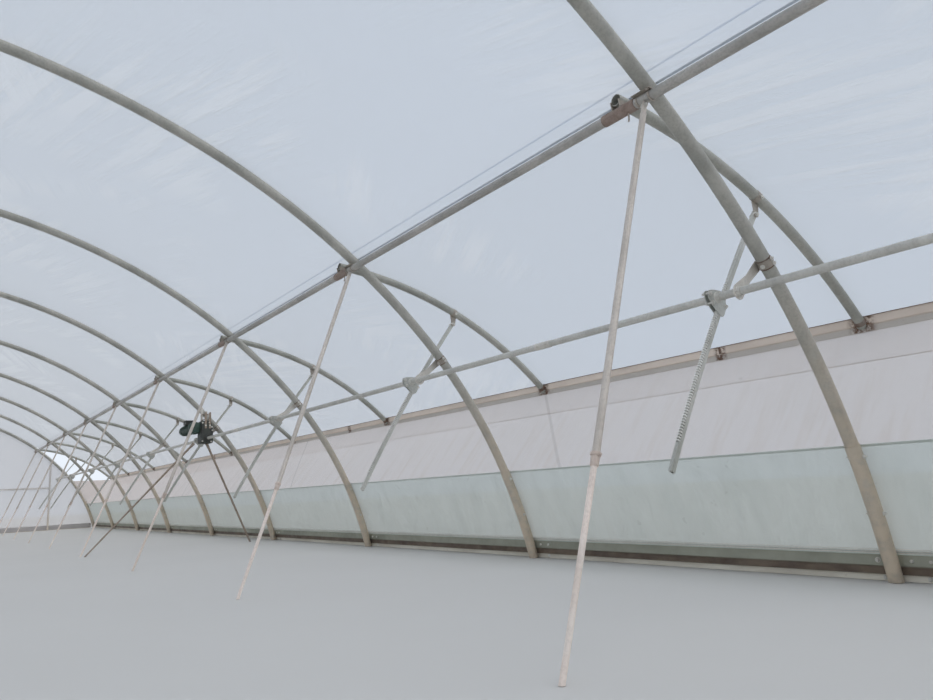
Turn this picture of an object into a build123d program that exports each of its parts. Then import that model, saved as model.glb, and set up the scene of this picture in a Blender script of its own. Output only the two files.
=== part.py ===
"""Polytunnel greenhouse: film over steel hoops, with side vents worked by racks and pinions.

Millimetres. X across the tunnel, Y along it, +Z up; the origin is on the ground at the middle.
Each side is modelled at +X and mirrored, so the outlines below are points (X, Z) of the right side.
"""
from build123d import *
from math import acos, asin, atan2, cos, degrees, hypot, pi, radians, sin, sqrt
import os

# Hoops
BAY = 2500.0                    # from one hoop to the next
BAYS = 9
HALF_WIDTH = 4222.0             # from the middle to a hoop's centre line, at the ground
LEAN = 14.4                     # degrees that a leg leans in at the ground
SIDE_RADIUS = 3498.0            # bend of a hoop's side
SHOULDER = 44.0                 # degrees above level where the side's bend meets the roof's
HOOP_TUBE = 60.0
HOOP_FACES = 8                  # a bent tube has this many flats
SLEEVE_TUBE = 66.0              # ground sleeve that each leg stands in
SLEEVE_HEIGHT = 620.0
SLEEVE_CHORDS = 2               # straight lengths that stand for a bend
SIDE_CHORDS = 2
ROOF_CHORDS = 10
GAP = 0.3                       # between pieces that bear on each other

# Film, net and the strips that hold them
FILM = 3.0
NET = 3.0
LOCK_DEPTH = 8.0
LOCK_WIDTH = 26.0

# Purlins at the hinge line, and the props under them
PURLIN_ANGLE = 52.44            # above level, seen from the centre of the roof's bend
PURLIN_TUBE = 42.0
PROP_TUBE = 25.0
PROP_INNER_TUBE = 20.0
PROP_COLLAR = 34.0
PROP_COLLAR_LENGTH = 44.0
PROP_COLLAR_HEIGHT = 600.0
PROP_FOOT_IN = 788.0            # from the purlin in to the foot of its prop
PROP_FOOT_Y = 165.0             # from the hoop to the foot of its prop, along the tunnel

# Vent flap, held open
RIB_TUBE = 50.0
RIB_FACES = 6
RIB_RADIUS = 2935.0
RIB_CHORDS = 3
RIB_TIP = 63.0                  # rib past the purlin
RIB_END_Z = 1252.0              # centre of a rib at the edge rail
RIB_OFFSET = 132.0              # from a hoop to the rib beside it
HINGE_TUBE = 49.0               # sleeve on the purlin under each rib
HINGE_LENGTH = 170.0
FLAP_TOP = 72.0                 # from the purlin out to the upper edge of the flap's film
FLAP_REACH = 319.0              # from the foot of a hoop out to the flap's edge rail
RAIL_DEPTH = 40.0
RAIL_HEIGHT = 77.0
RAIL_FACE = 41.0                # height of the rail's upper, thicker part
RAIL_STEP = 8.0
HEM_DROP = 155.0

# Rack drive
SHAFT_IN = 157.0                # from the clamp on a hoop in and down to the shaft
SHAFT_DROP = 131.0
SHAFT_TUBE = 34.0
BORE_FACES = 6                  # flats of a bore that turns on the shaft
RACK_ASIDE = 20.0               # from the middle of a rib to that of its rack, along the tunnel
RACK_PIN_OUT = 380.0            # from the shaft out to the rack's pin
RACK_HANG = 70.0                # from a rib's centre line down to the rack's pin
RACK_LENGTH = 1412.0            # from the pin to the free end
RACK_RADIUS = 10000.0
RACK_THICKNESS = 14.0
RACK_BODY = 22.0                # from the foot of the teeth to the back
TOOTH_HEIGHT = 9.0
PINION_TEETH = 5
PINION_RADIUS = 30.0            # of the pitch circle
PINION_WIDTH = 13.0
TOOTHED_FROM = 480.0            # from the pin to the first tooth
RACK_PLAIN_END = 110.0          # below the last tooth
RACK_HEAD = 18.0                # rack above its pin
LUG = 5.0
LUG_WIDTH = 50.0
LUG_TOE = 28.0
CHEEK = 4.0                     # side plate of a pinion's housing
CHEEK_TOP = 34.0                # its reach from the shaft: up, in, out and down
CHEEK_IN = 64.0
CHEEK_OUT = 50.0
CHEEK_TOE = 82.0
PLATE = 5.0                     # bearing plate that hangs the shaft from a hoop
PLATE_WIDTH = 60.0
PLATE_END = 42.0                # radius of its lower end
CLAMP_ANGLE = 40.31             # above level, seen from the centre of a side's bend
CLAMP_WALL = 4.0
CLAMP_LENGTH = 44.0

# Gear motor
MOTOR_HOOP = 4                  # counted from 0 at the front
GEARBOX_DEPTH = 160.0
GEARBOX_CHAMFER = 28.0
GEARBOX_RIM = 9.0               # its casting around the motor
GEARBOX_BELOW = 62.0            # from the shaft to the underside
GEARBOX_OUT = 62.0              # from the shaft to the outer side
MOTOR_TUBE = 136.0
MOTOR_LENGTH = 440.0
MOTOR_CAP = 104.0
MOTOR_CAP_LENGTH = 46.0
MOTOR_RISE = 130.0              # from the shaft up to the motor's axis
MOTOR_CLEARANCE = 9.0           # between the motor and the nearer bar
HANGER = 6.0
HANGER_WIDTH = 30.0
HANGER_SPACING = 50.0
HANGER_LAP = 135.0              # length of a bar behind the gearbox
BRACE_TUBE = 27.0
BRACE_OUT_FOOT = (586.0, 20.0)  # X from the shaft, and Y from the hoop
BRACE_IN_FOOT = (-1270.0, -225.0)

# Foot of the side walls
BASE_TOP = 120.0
BASE_LIP = 70.0                 # underside of the base rail's face
PLINTH_HEIGHT = 30.0
BASE_DEPTH = 60.0

# Gables
POST = 40.0
JAMB_X = 1500.0
STUD_IN = 1062.0                # from the foot of a hoop in to the post beside the doorway
DOOR_HEIGHT = 2150.0
GIRT_Z = 1050.0
GABLE_HEM = 10.0                # the gable film stops this far above the ground
BOARD = 20.0
BOARD_HEIGHT = 120.0
BOARD_END_IN = 72.0             # from the foot of a hoop in to the end of the board

# Worked out from the above
LENGTH = BAY * BAYS
HOOP_Y = [i * BAY - LENGTH / 2 for i in range(BAYS + 1)]
SIDE_X = HALF_WIDTH - SIDE_RADIUS * cos(radians(LEAN))
SIDE_Z = -SIDE_RADIUS * sin(radians(LEAN))
ROOF_RADIUS = SIDE_RADIUS + SIDE_X / cos(radians(SHOULDER))
ROOF_Z = SIDE_Z + (SIDE_RADIUS - ROOF_RADIUS) * sin(radians(SHOULDER))
SLEEVE_ANGLE = degrees(asin((SLEEVE_HEIGHT - SIDE_Z) / SIDE_RADIUS))
TOOTH_PITCH = 2 * pi * PINION_RADIUS / PINION_TEETH
RACK_Y = RIB_OFFSET + RACK_ASIDE
ROUND_FACES = 2 * BORE_FACES    # flats of a straight round bar
RAIL_X = HALF_WIDTH + FLAP_REACH
STUD_X = HALF_WIDTH - STUD_IN
BOARD_END_X = HALF_WIDTH - BOARD_END_IN
PURLIN_X = (ROOF_RADIUS - (HOOP_TUBE + PURLIN_TUBE) / 2) * cos(radians(PURLIN_ANGLE))
RIB_TIP_X = PURLIN_X - RIB_TIP
FLAP_TOP_X = PURLIN_X + FLAP_TOP
PROP_FOOT_X = PURLIN_X - PROP_FOOT_IN
NODES = {}


def spread(start, end, steps):
    return [start + (end - start) * i / steps for i in range(steps + 1)]


def mix(a, b, share):
    """The point at this share of the way from a to b, or beyond."""
    return tuple(p + (q - p) * share for p, q in zip(a, b))


def polar(centre, radius, angle):
    """Point at this distance and angle, in degrees above +X."""
    return centre[0] + radius * cos(radians(angle)), centre[1] + radius * sin(radians(angle))


def offset_line(points, out):
    """A line of points moved to its right-hand side, with mitred corners."""
    normals = []
    for (x0, z0), (x1, z1) in zip(points, points[1:]):
        length = hypot(x1 - x0, z1 - z0)
        normals.append(((z1 - z0) / length, (x0 - x1) / length))
    moved = []
    for (x, z), (ax, az), (bx, bz) in zip(points, normals[:1] + normals, normals + normals[-1:]):
        share = out / (1 + ax * bx + az * bz)
        moved.append((x + share * (ax + bx), z + share * (az + bz)))
    return moved


def clip(points, axis, low, high):
    """The stretch of a line whose X (axis 0) or Z (axis 1) lies between two values."""
    kept = []
    for a, b in zip(points, points[1:]):
        shares = sorted((limit - a[axis]) / (b[axis] - a[axis]) for limit in (low, high))
        start, end = max(0.0, shares[0]), min(1.0, shares[1])
        if start < end:
            kept += [mix(a, b, start), mix(a, b, end)]
    pairs = zip(kept, kept[1:])
    return kept[:1] + [b for a, b in pairs if hypot(b[0] - a[0], b[1] - a[1]) > 0.01]


def crossing(points, axis, value):
    """Where a line of points passes this X (axis 0) or Z (axis 1)."""
    for a, b in zip(points, points[1:]):
        if min(a[axis], b[axis]) <= value <= max(a[axis], b[axis]):
            return mix(a, b, (value - a[axis]) / (b[axis] - a[axis]))
    raise ValueError(f"the line does not reach {value}")


def meeting(a, radius_a, b, radius_b):
    """Where two circles meet, on the right-hand side of the way from a to b."""
    distance = hypot(b[0] - a[0], b[1] - a[1])
    along = (distance ** 2 + radius_a ** 2 - radius_b ** 2) / (2 * distance)
    aside = sqrt(radius_a ** 2 - along ** 2)
    dx, dz = (b[0] - a[0]) / distance, (b[1] - a[1]) / distance
    return a[0] + along * dx + aside * dz, a[1] + along * dz - aside * dx


def arch_point(angle):
    """Point of the hoops' centre line, by the angle of its normal: 0 is +X, 90 straight up."""
    if angle < SHOULDER:
        return polar((SIDE_X, SIDE_Z), SIDE_RADIUS, angle)
    return polar((0.0, ROOF_Z), ROOF_RADIUS, angle)


def arch_lines():
    """Centre lines from the right foot up to the sleeve's top, on to the shoulder, and over the roof."""
    sleeve = [arch_point(a) for a in spread(LEAN, SLEEVE_ANGLE, SLEEVE_CHORDS)]
    side = [arch_point(a) for a in spread(SLEEVE_ANGLE, SHOULDER, SIDE_CHORDS)]
    roof = [arch_point(a) for a in spread(SHOULDER, 180 - SHOULDER, ROOF_CHORDS)]
    return sleeve, side, roof


def mirrored(points):
    return [(-x, z) for x, z in reversed(points)]


SLEEVE_LINE, SIDE_LINE, ROOF_LINE = arch_lines()
UPPER_LINE = SIDE_LINE[:-1] + ROOF_LINE + mirrored(SIDE_LINE)[1:]
WHOLE_LINE = SLEEVE_LINE[:-1] + UPPER_LINE + mirrored(SLEEVE_LINE)[1:]
PURLIN_Z = crossing(offset_line(UPPER_LINE, -(HOOP_TUBE + PURLIN_TUBE) / 2 - GAP), 0, PURLIN_X)[1]
PURLIN = (PURLIN_X, PURLIN_Z)
CLAMP = crossing(SIDE_LINE, 1, arch_point(CLAMP_ANGLE)[1])
SHAFT = SHAFT_X, SHAFT_Z = CLAMP[0] - SHAFT_IN, CLAMP[1] - SHAFT_DROP
RACK_PIN_X = SHAFT_X + RACK_PIN_OUT


def rib_line():
    """Centre line of a rib from past the edge rail up to its tip, lying on the hinge sleeve."""
    rise = HINGE_TUBE / 2 + GAP + RIB_TUBE / 2
    centre = meeting((RAIL_X, RIB_END_Z), RIB_RADIUS, (PURLIN_X, PURLIN_Z + rise), RIB_RADIUS)
    centre = (2 * (RAIL_X + PURLIN_X) / 2 - centre[0], RIB_END_Z + PURLIN_Z + rise - centre[1])
    low = degrees(acos((RAIL_X + RAIL_DEPTH - centre[0]) / RIB_RADIUS))
    high = degrees(acos((RIB_TIP_X - centre[0]) / RIB_RADIUS))
    line = [polar(centre, RIB_RADIUS, a) for a in spread(low, high, RIB_CHORDS)]
    (x0, z0), (x1, z1) = line[-2:]
    length = hypot(x1 - x0, z1 - z0)
    now = ((PURLIN_X - x0) * (z1 - z0) - (PURLIN_Z - z0) * (x1 - x0)) / length
    lift = (rise + now) * length / (x0 - x1)
    return [(x, z + lift) for x, z in line]


RIB_LINE = rib_line()
FLAP_LINE = offset_line(RIB_LINE, RIB_TUBE / 2 + GAP)
GABLE_IN = LENGTH / 2 + max(SLEEVE_TUBE / 2, HOOP_TUBE / 2 + GAP + CLAMP_WALL) + GAP
RAIL_TOP = crossing(offset_line(RIB_LINE, RIB_TUBE / 2 + GAP + FILM), 0, RAIL_X)[1]
RAIL_BOTTOM = RAIL_TOP - RAIL_HEIGHT
SIDE_ENDS = [side * (GABLE_IN + FILM + GAP) for side in (-1, 1)]
FLAP_ENDS = [side * (LENGTH / 2 - RIB_OFFSET + RIB_TUBE / 2) for side in (-1, 1)]


def prism(outline, ends, hole=None):
    """A solid with this outline in X and Z, from one Y to another."""
    face = make_face(Polyline(*[(x, 0, z) for x, z in outline], close=True))
    if hole:
        face -= make_face(Polyline(*[(x, 0, z) for x, z in hole], close=True))
    return Pos(0, ends[0], 0) * extrude(face, amount=ends[1] - ends[0], dir=(0, 1, 0))


def sheet(line, thickness, ends, axis, low, high):
    """A sheet on the outside of a line, over one stretch of X or Z."""
    inner = clip(line, axis, low, high)
    outer = clip(offset_line(line, thickness), axis, low, high)
    return prism(inner + outer[::-1], ends)


def tube_section(plane, width, faces):
    """Section of a tube with flats, one of which faces out of the bend."""
    return plane * RegularPolygon(width / 2, faces, major_radius=False, rotation=90 - 180 / faces)


def bent_tube(points, width, faces):
    """A tube along straight lengths in one upright plane, mitred where they meet."""
    path = Polyline(*[(x, 0, z) for x, z in points])
    plane = Plane(origin=path @ 0, x_dir=(0, 1, 0), z_dir=path % 0)
    return sweep(tube_section(plane, width, faces), path=path, transition=Transition.RIGHT)


def bar(a, b, width, faces=0):
    """A straight tube between two points, with these flats or else nearly round."""
    axis = Vector(*b) - Vector(*a)
    plane = Plane(origin=a, x_dir=axis.cross(Vector(0, 0, 1)), z_dir=axis)
    section = tube_section(plane, width, faces) if faces else plane * RegularPolygon(width / 2, ROUND_FACES)
    return extrude(section, amount=axis.length)


def block(low, high):
    """A box between two corners."""
    size = [h - l for l, h in zip(low, high)]
    return Pos(*low) * Box(*size, align=(Align.MIN, Align.MIN, Align.MIN))


def between_levels(low, high):
    """Room around the whole tunnel between two heights, for trimming."""
    reach = 2 * HALF_WIDTH
    return block((-reach, -LENGTH, low), (reach, LENGTH, high))


def both_sides(shape):
    return [shape, shape.mirror(Plane.YZ)]


def at_hoops(shape, turned):
    """Copies at every hoop of a piece modelled beside Y = 0; the turned hoop has it on its other side."""
    return [Pos(0, y, 0) * (shape.mirror(Plane.XZ) if i == turned else shape) for i, y in enumerate(HOOP_Y)]


def on_every_hoop(shape, turned=BAYS):
    return [piece for side in both_sides(shape) for piece in at_hoops(side, turned)]


def bore(centre):
    """Outline of a hole that the shaft turns in."""
    reach = (SHAFT_TUBE / 2 + GAP) / cos(pi / BORE_FACES)
    return [polar(centre, reach, 360 * i / BORE_FACES) for i in range(BORE_FACES)]


def hoops():
    below = mix(UPPER_LINE[0], UPPER_LINE[1], -HOOP_TUBE / SIDE_RADIUS * 6)
    line = [below] + UPPER_LINE[1:-1] + mirrored([below])
    hoop = bent_tube(line, HOOP_TUBE, HOOP_FACES) & between_levels(SLEEVE_HEIGHT, 2 * ROOF_RADIUS)
    for number, y in enumerate(HOOP_Y, start=1):
        NODES[f"hoop_{number:02d}"] = [Pos(0, y, 0) * hoop]
    below = mix(SLEEVE_LINE[0], SLEEVE_LINE[1], -SLEEVE_TUBE / SLEEVE_HEIGHT * 2)
    above = mix(SLEEVE_LINE[-1], SLEEVE_LINE[-2], -SLEEVE_TUBE / SLEEVE_HEIGHT * 2)
    line = [below] + SLEEVE_LINE[1:-1] + [above]
    sleeve = bent_tube(line, SLEEVE_TUBE, HOOP_FACES) & between_levels(0, SLEEVE_HEIGHT)
    NODES["ground_sleeves"] = on_every_hoop(sleeve)


def films():
    """Roof film, skirts, and the strips that clamp them on the tubes."""
    roof_edge = PURLIN_X + LOCK_DEPTH
    over_hoops = offset_line(UPPER_LINE, HOOP_TUBE / 2 + GAP)
    over_film = offset_line(UPPER_LINE, HOOP_TUBE / 2 + FILM + 2 * GAP)
    NODES["roof_film"] = [sheet(over_hoops, FILM, SIDE_ENDS, 0, -roof_edge, roof_edge)]
    over_sleeves = offset_line(SLEEVE_LINE, SLEEVE_TUBE / 2 + GAP)
    over_skirt = offset_line(SLEEVE_LINE, SLEEVE_TUBE / 2 + FILM + 2 * GAP)
    foot = BASE_TOP + GAP
    NODES["side_skirts"] = both_sides(sheet(over_sleeves, FILM, SIDE_ENDS, 1, foot, SLEEVE_HEIGHT))
    strips = [
        sheet(over_film, LOCK_DEPTH, SIDE_ENDS, 0, roof_edge - LOCK_WIDTH, roof_edge),
        sheet(over_skirt, LOCK_DEPTH, SIDE_ENDS, 1, SLEEVE_HEIGHT - LOCK_WIDTH, SLEEVE_HEIGHT),
        sheet(over_skirt, LOCK_DEPTH, SIDE_ENDS, 1, foot, foot + LOCK_WIDTH),
    ]
    NODES["film_locks"] = [piece for strip in strips for piece in both_sides(strip)]


def base():
    """Base rail and plinth, set against the outside of the ground sleeves."""
    outside = offset_line([mix(*SLEEVE_LINE[:2], -1)] + SLEEVE_LINE[1:], SLEEVE_TUBE / 2 + GAP)
    lip, foot, ground = (crossing(outside, 1, z)[0] for z in (BASE_LIP, PLINTH_HEIGHT, 0))
    back = lip + BASE_DEPTH
    rail = [(lip, BASE_TOP), (lip, BASE_LIP), (foot, BASE_LIP), (foot, PLINTH_HEIGHT),
            (back, PLINTH_HEIGHT), (back, BASE_TOP)]
    NODES["base_rails"] = both_sides(prism(rail, SIDE_ENDS))
    plinth = [(ground, 0), (back, 0), (back, PLINTH_HEIGHT), (ground, PLINTH_HEIGHT)]
    NODES["plinths"] = both_sides(prism(plinth, SIDE_ENDS))


def purlins():
    ends = [y + side * HOOP_TUBE / 2 for y, side in ((HOOP_Y[0], -1), (HOOP_Y[-1], 1))]
    front, back = [(PURLIN_X, y, PURLIN_Z) for y in ends]
    NODES["hinge_purlins"] = both_sides(bar(front, back, PURLIN_TUBE))
    (x0, z0), (x1, z1) = RIB_LINE[-2:]
    tilt = degrees(atan2(z1 - z0, x1 - x0)) - 90
    rings = []
    for width in (HINGE_TUBE, PURLIN_TUBE + 2 * GAP):
        reach = width / 2 / cos(pi / RIB_FACES)
        rings.append([polar(PURLIN, reach, tilt + (i + 0.5) * 360 / RIB_FACES) for i in range(RIB_FACES)])
    ends = (RIB_OFFSET - HINGE_LENGTH / 2, RIB_OFFSET + HINGE_LENGTH / 2)
    NODES["hinge_sleeves"] = on_every_hoop(prism(rings[0], ends, hole=rings[1]))


def props():
    """Telescopic props that lean in from the purlins to the ground."""
    head = (PURLIN_X, 0.0, PURLIN_Z)
    foot = (PROP_FOOT_X, -PROP_FOOT_Y, 0.0)
    reach = (Vector(*foot) - Vector(*head)).length
    lean = PROP_FOOT_Y / reach
    corner = PROP_TUBE / 2 / cos(pi / RIB_FACES)
    top = mix(head, foot, (PURLIN_TUBE / 2 + GAP + lean * corner) / sqrt(1 - lean ** 2) / reach)
    upper_end = mix(head, foot, 1 - PROP_COLLAR_HEIGHT / PURLIN_Z)
    lower_end = mix(upper_end, foot, PROP_COLLAR_LENGTH / reach)
    below = mix(head, foot, 1 + PROP_TUBE / reach)
    lower = bar(lower_end, below, PROP_INNER_TUBE, RIB_FACES) & between_levels(0, PROP_COLLAR_HEIGHT)
    NODES["prop_upper_tubes"] = on_every_hoop(bar(top, upper_end, PROP_TUBE, RIB_FACES), turned=0)
    NODES["prop_collars"] = on_every_hoop(bar(upper_end, lower_end, PROP_COLLAR, RIB_FACES), turned=0)
    NODES["prop_lower_tubes"] = on_every_hoop(lower, turned=0)


def vent_flaps():
    """Ribs, film, edge rail and hanging hem of the flap, and the net across the opening under it."""
    rib = bent_tube(RIB_LINE, RIB_TUBE, RIB_FACES)
    rib &= block((0, -RIB_TUBE, 0), (RAIL_X - GAP, RIB_TUBE, ROOF_RADIUS))
    NODES["vent_ribs"] = on_every_hoop(Pos(0, RIB_OFFSET, 0) * rib)
    NODES["vent_films"] = both_sides(sheet(FLAP_LINE, FILM, FLAP_ENDS, 0, FLAP_TOP_X, RAIL_X - GAP))
    inset, back, step = RAIL_X + RAIL_STEP, RAIL_X + RAIL_DEPTH, RAIL_TOP - RAIL_FACE
    outline = [(RAIL_X, RAIL_TOP), (RAIL_X, step), (inset, step - RAIL_STEP), (inset, RAIL_BOTTOM),
               (back, RAIL_BOTTOM), (back, RAIL_TOP)]
    NODES["vent_edge_rails"] = both_sides(prism(outline, FLAP_ENDS))
    hem = block((back - FILM, FLAP_ENDS[0], RAIL_BOTTOM - HEM_DROP), (back, FLAP_ENDS[1], RAIL_BOTTOM - GAP))
    NODES["vent_hems"] = both_sides(hem)
    lock_top = crossing(offset_line(SLEEVE_LINE, SLEEVE_TUBE / 2 + FILM + 2 * GAP), 1, SLEEVE_HEIGHT)[0]
    net = [(lock_top, SLEEVE_HEIGHT + GAP), (lock_top + NET, SLEEVE_HEIGHT + GAP),
           (inset + NET, RAIL_BOTTOM - GAP), (inset, RAIL_BOTTOM - GAP)]
    NODES["insect_nets"] = both_sides(prism(net, FLAP_ENDS))


def rack_circle():
    """The pin and the centre of the racks' pitch line, which passes below the shaft at its pinions."""
    pin_x, rib_z = crossing(RIB_LINE, 0, RACK_PIN_X)
    pin = (pin_x, rib_z - RACK_HANG)
    inside = RACK_RADIUS - (TOOTH_HEIGHT + RACK_BODY) / 2
    return pin, meeting(SHAFT, RACK_RADIUS + PINION_RADIUS, pin, inside)


def rack_outline(pin, centre):
    """A bowed bar with pointed teeth on the side that faces the shaft, one gap of them at the pinion."""
    def place(depth, along):
        return polar(centre, RACK_RADIUS + depth, start - degrees(along / RACK_RADIUS))
    start = degrees(atan2(pin[1] - centre[1], pin[0] - centre[0]))
    mesh = radians(start - degrees(atan2(SHAFT_Z - centre[1], SHAFT_X - centre[0]))) * RACK_RADIUS
    way = 1 if mesh > 0 else -1
    first = abs(mesh) - TOOTH_PITCH * int((abs(mesh) - TOOTHED_FROM) / TOOTH_PITCH)
    teeth = int((RACK_LENGTH - RACK_PLAIN_END - first) / TOOTH_PITCH)
    root, tip, back = -TOOTH_HEIGHT / 2, TOOTH_HEIGHT / 2, -TOOTH_HEIGHT / 2 - RACK_BODY
    outline = [place(root, -way * RACK_HEAD)]
    for i in range(teeth):
        outline.append(place(root, way * (first + i * TOOTH_PITCH)))
        outline.append(place(tip, way * (first + (i + 0.5) * TOOTH_PITCH)))
    outline.append(place(root, way * (first + teeth * TOOTH_PITCH)))
    outline += [place(root, way * RACK_LENGTH), place(back, way * RACK_LENGTH)]
    outline += [place(back, way * RACK_LENGTH * share) for share in (0.67, 0.33)]
    outline.append(place(back, -way * RACK_HEAD))
    return outline


def racks():
    pin, centre = rack_circle()
    thickness = (RACK_Y - RACK_THICKNESS / 2, RACK_Y + RACK_THICKNESS / 2)
    NODES["racks"] = on_every_hoop(prism(rack_outline(pin, centre), thickness))
    under_rib = offset_line(RIB_LINE, -RIB_TUBE / 2 - GAP)
    half, toe = LUG_WIDTH / 2, LUG_TOE / 2
    lug = clip(under_rib, 0, pin[0] - half, pin[0] + half)
    lug += [(pin[0] - toe, pin[1] - toe), (pin[0] + toe, pin[1] - toe)]
    lug_ends = (thickness[0] - GAP - LUG, thickness[0] - GAP)
    NODES["rack_lugs"] = on_every_hoop(prism(lug, lug_ends))


def pinions():
    """Pinions on the shaft with a tooth in the racks' gap, between the two cheeks of a housing."""
    pin, centre = rack_circle()
    toward = degrees(atan2(centre[1] - SHAFT_Z, centre[0] - SHAFT_X))
    radii = (PINION_RADIUS + TOOTH_HEIGHT / 2 - GAP, PINION_RADIUS - TOOTH_HEIGHT / 2 - GAP)
    star = [polar(SHAFT, radii[i % 2], toward + i * 180 / PINION_TEETH) for i in range(2 * PINION_TEETH)]
    width = (RACK_Y - PINION_WIDTH / 2, RACK_Y + PINION_WIDTH / 2)
    NODES["pinions"] = on_every_hoop(prism(star, width, hole=bore(SHAFT)))
    cheek = [(-CHEEK_IN, CHEEK_TOP / 2), (-CHEEK_IN / 2, CHEEK_TOP), (CHEEK_OUT, CHEEK_TOP / 2),
             (CHEEK_OUT, -CHEEK_TOP / 2), (CHEEK_OUT / 4, -CHEEK_TOE)]
    cheek = [(SHAFT_X + x, SHAFT_Z + z) for x, z in cheek]
    near = RACK_THICKNESS / 2 + GAP
    starts = (RACK_Y - near - CHEEK, RACK_Y + near)
    pair = [prism(cheek, (start, start + CHEEK), hole=bore(SHAFT)) for start in starts]
    NODES["pinion_housings"] = [piece for plate in pair for piece in on_every_hoop(plate)]


def shaft_hangers():
    """Saddle clamps on the hoops, and the plates that hang the shaft from them."""
    x, z = CLAMP
    lower, upper = next((a, b) for a, b in zip(SIDE_LINE, SIDE_LINE[1:]) if a[1] <= z <= b[1])
    plane = Plane(origin=(x, 0, z), x_dir=(0, 1, 0), z_dir=(upper[0] - lower[0], 0, upper[1] - lower[1]))
    step = 360 / HOOP_FACES
    section = []
    for width, order in ((HOOP_TUBE + 2 * GAP, 1), (HOOP_TUBE + 2 * (GAP + CLAMP_WALL), -1)):
        reach = width / 2 / cos(pi / HOOP_FACES)
        section += [polar((0, 0), reach, 90 + (i + 0.5) * step) for i in range(-3, 3)][::order]
    saddle = extrude(plane * make_face(Polyline(*section, close=True)), amount=CLAMP_LENGTH / 2, both=True)
    NODES["hoop_clamps"] = on_every_hoop(saddle)
    down = degrees(atan2(SHAFT_Z - z, SHAFT_X - x))
    plate = [polar((x, z), PLATE_WIDTH / 2, down - 90)]
    plate += [polar(SHAFT, PLATE_END, down + a) for a in spread(-75, 75, 3)]
    plate.append(polar((x, z), PLATE_WIDTH / 2, down + 90))
    side = HOOP_TUBE / 2 + CLAMP_WALL + 2 * GAP
    NODES["bearing_plates"] = on_every_hoop(prism(plate, (side, side + PLATE), hole=bore(SHAFT)))


def shafts():
    front, back = [(SHAFT_X, y, SHAFT_Z) for y in (HOOP_Y[0], HOOP_Y[-1])]
    NODES["drive_shafts"] = both_sides(bar(front, back, SHAFT_TUBE))


def gear_motors():
    """Gearbox on the shaft beside one hoop, its motor, the bars it hangs from and its two braces."""
    y = HOOP_Y[MOTOR_HOOP]
    hanger_back = y - HOOP_TUBE / 2 - GAP
    gearbox_back = hanger_back - HANGER - GAP
    right, floor = SHAFT_X + GEARBOX_OUT, SHAFT_Z - GEARBOX_BELOW
    outer_bar = right - GEARBOX_CHAMFER - HANGER_WIDTH / 2
    inner_bar = outer_bar - HANGER_SPACING
    motor_x = inner_bar - HANGER_WIDTH / 2 - MOTOR_CLEARANCE - MOTOR_TUBE / 2
    motor_z = SHAFT_Z + MOTOR_RISE
    left, top = motor_x - MOTOR_TUBE / 2 - GEARBOX_RIM, motor_z + MOTOR_TUBE / 2 + GEARBOX_RIM
    box = block((left, gearbox_back - GEARBOX_DEPTH, floor), (right, gearbox_back, top))
    box = chamfer(box.edges().filter_by(Axis.Y), GEARBOX_CHAMFER)
    hole = bar((SHAFT_X, y - BAY / 2, SHAFT_Z), (SHAFT_X, y + BAY / 2, SHAFT_Z), SHAFT_TUBE + 2 * GAP)
    NODES["gearboxes"] = both_sides(box - hole)
    start, end = gearbox_back + GAP, gearbox_back + MOTOR_LENGTH
    motor = bar((motor_x, start, motor_z), (motor_x, end, motor_z), MOTOR_TUBE)
    motor += bar((motor_x, end, motor_z), (motor_x, end + MOTOR_CAP_LENGTH, motor_z), MOTOR_CAP)
    NODES["motors"] = both_sides(motor)
    bars = []
    for x in (inner_bar, outer_bar):
        hoop_top = crossing(offset_line(UPPER_LINE, HOOP_TUBE / 2), 0, x)[1]
        low = (x - HANGER_WIDTH / 2, hanger_back - HANGER, top - HANGER_LAP)
        bars += both_sides(block(low, (x + HANGER_WIDTH / 2, hanger_back, hoop_top)))
    NODES["motor_hangers"] = bars
    braces = []
    heads = (right - 2 * BRACE_TUBE, left + 2 * BRACE_TUBE)
    for x, (foot_x, foot_y) in zip(heads, (BRACE_OUT_FOOT, BRACE_IN_FOOT)):
        head = (x, gearbox_back - GEARBOX_DEPTH / 2, floor - GAP)
        foot = (SHAFT_X + foot_x, y + foot_y, 0.0)
        brace = bar(mix(head, foot, -0.1), mix(head, foot, 1.1), BRACE_TUBE, RIB_FACES)
        braces += both_sides(brace & between_levels(0, floor - GAP))
    NODES["motor_braces"] = braces


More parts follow.
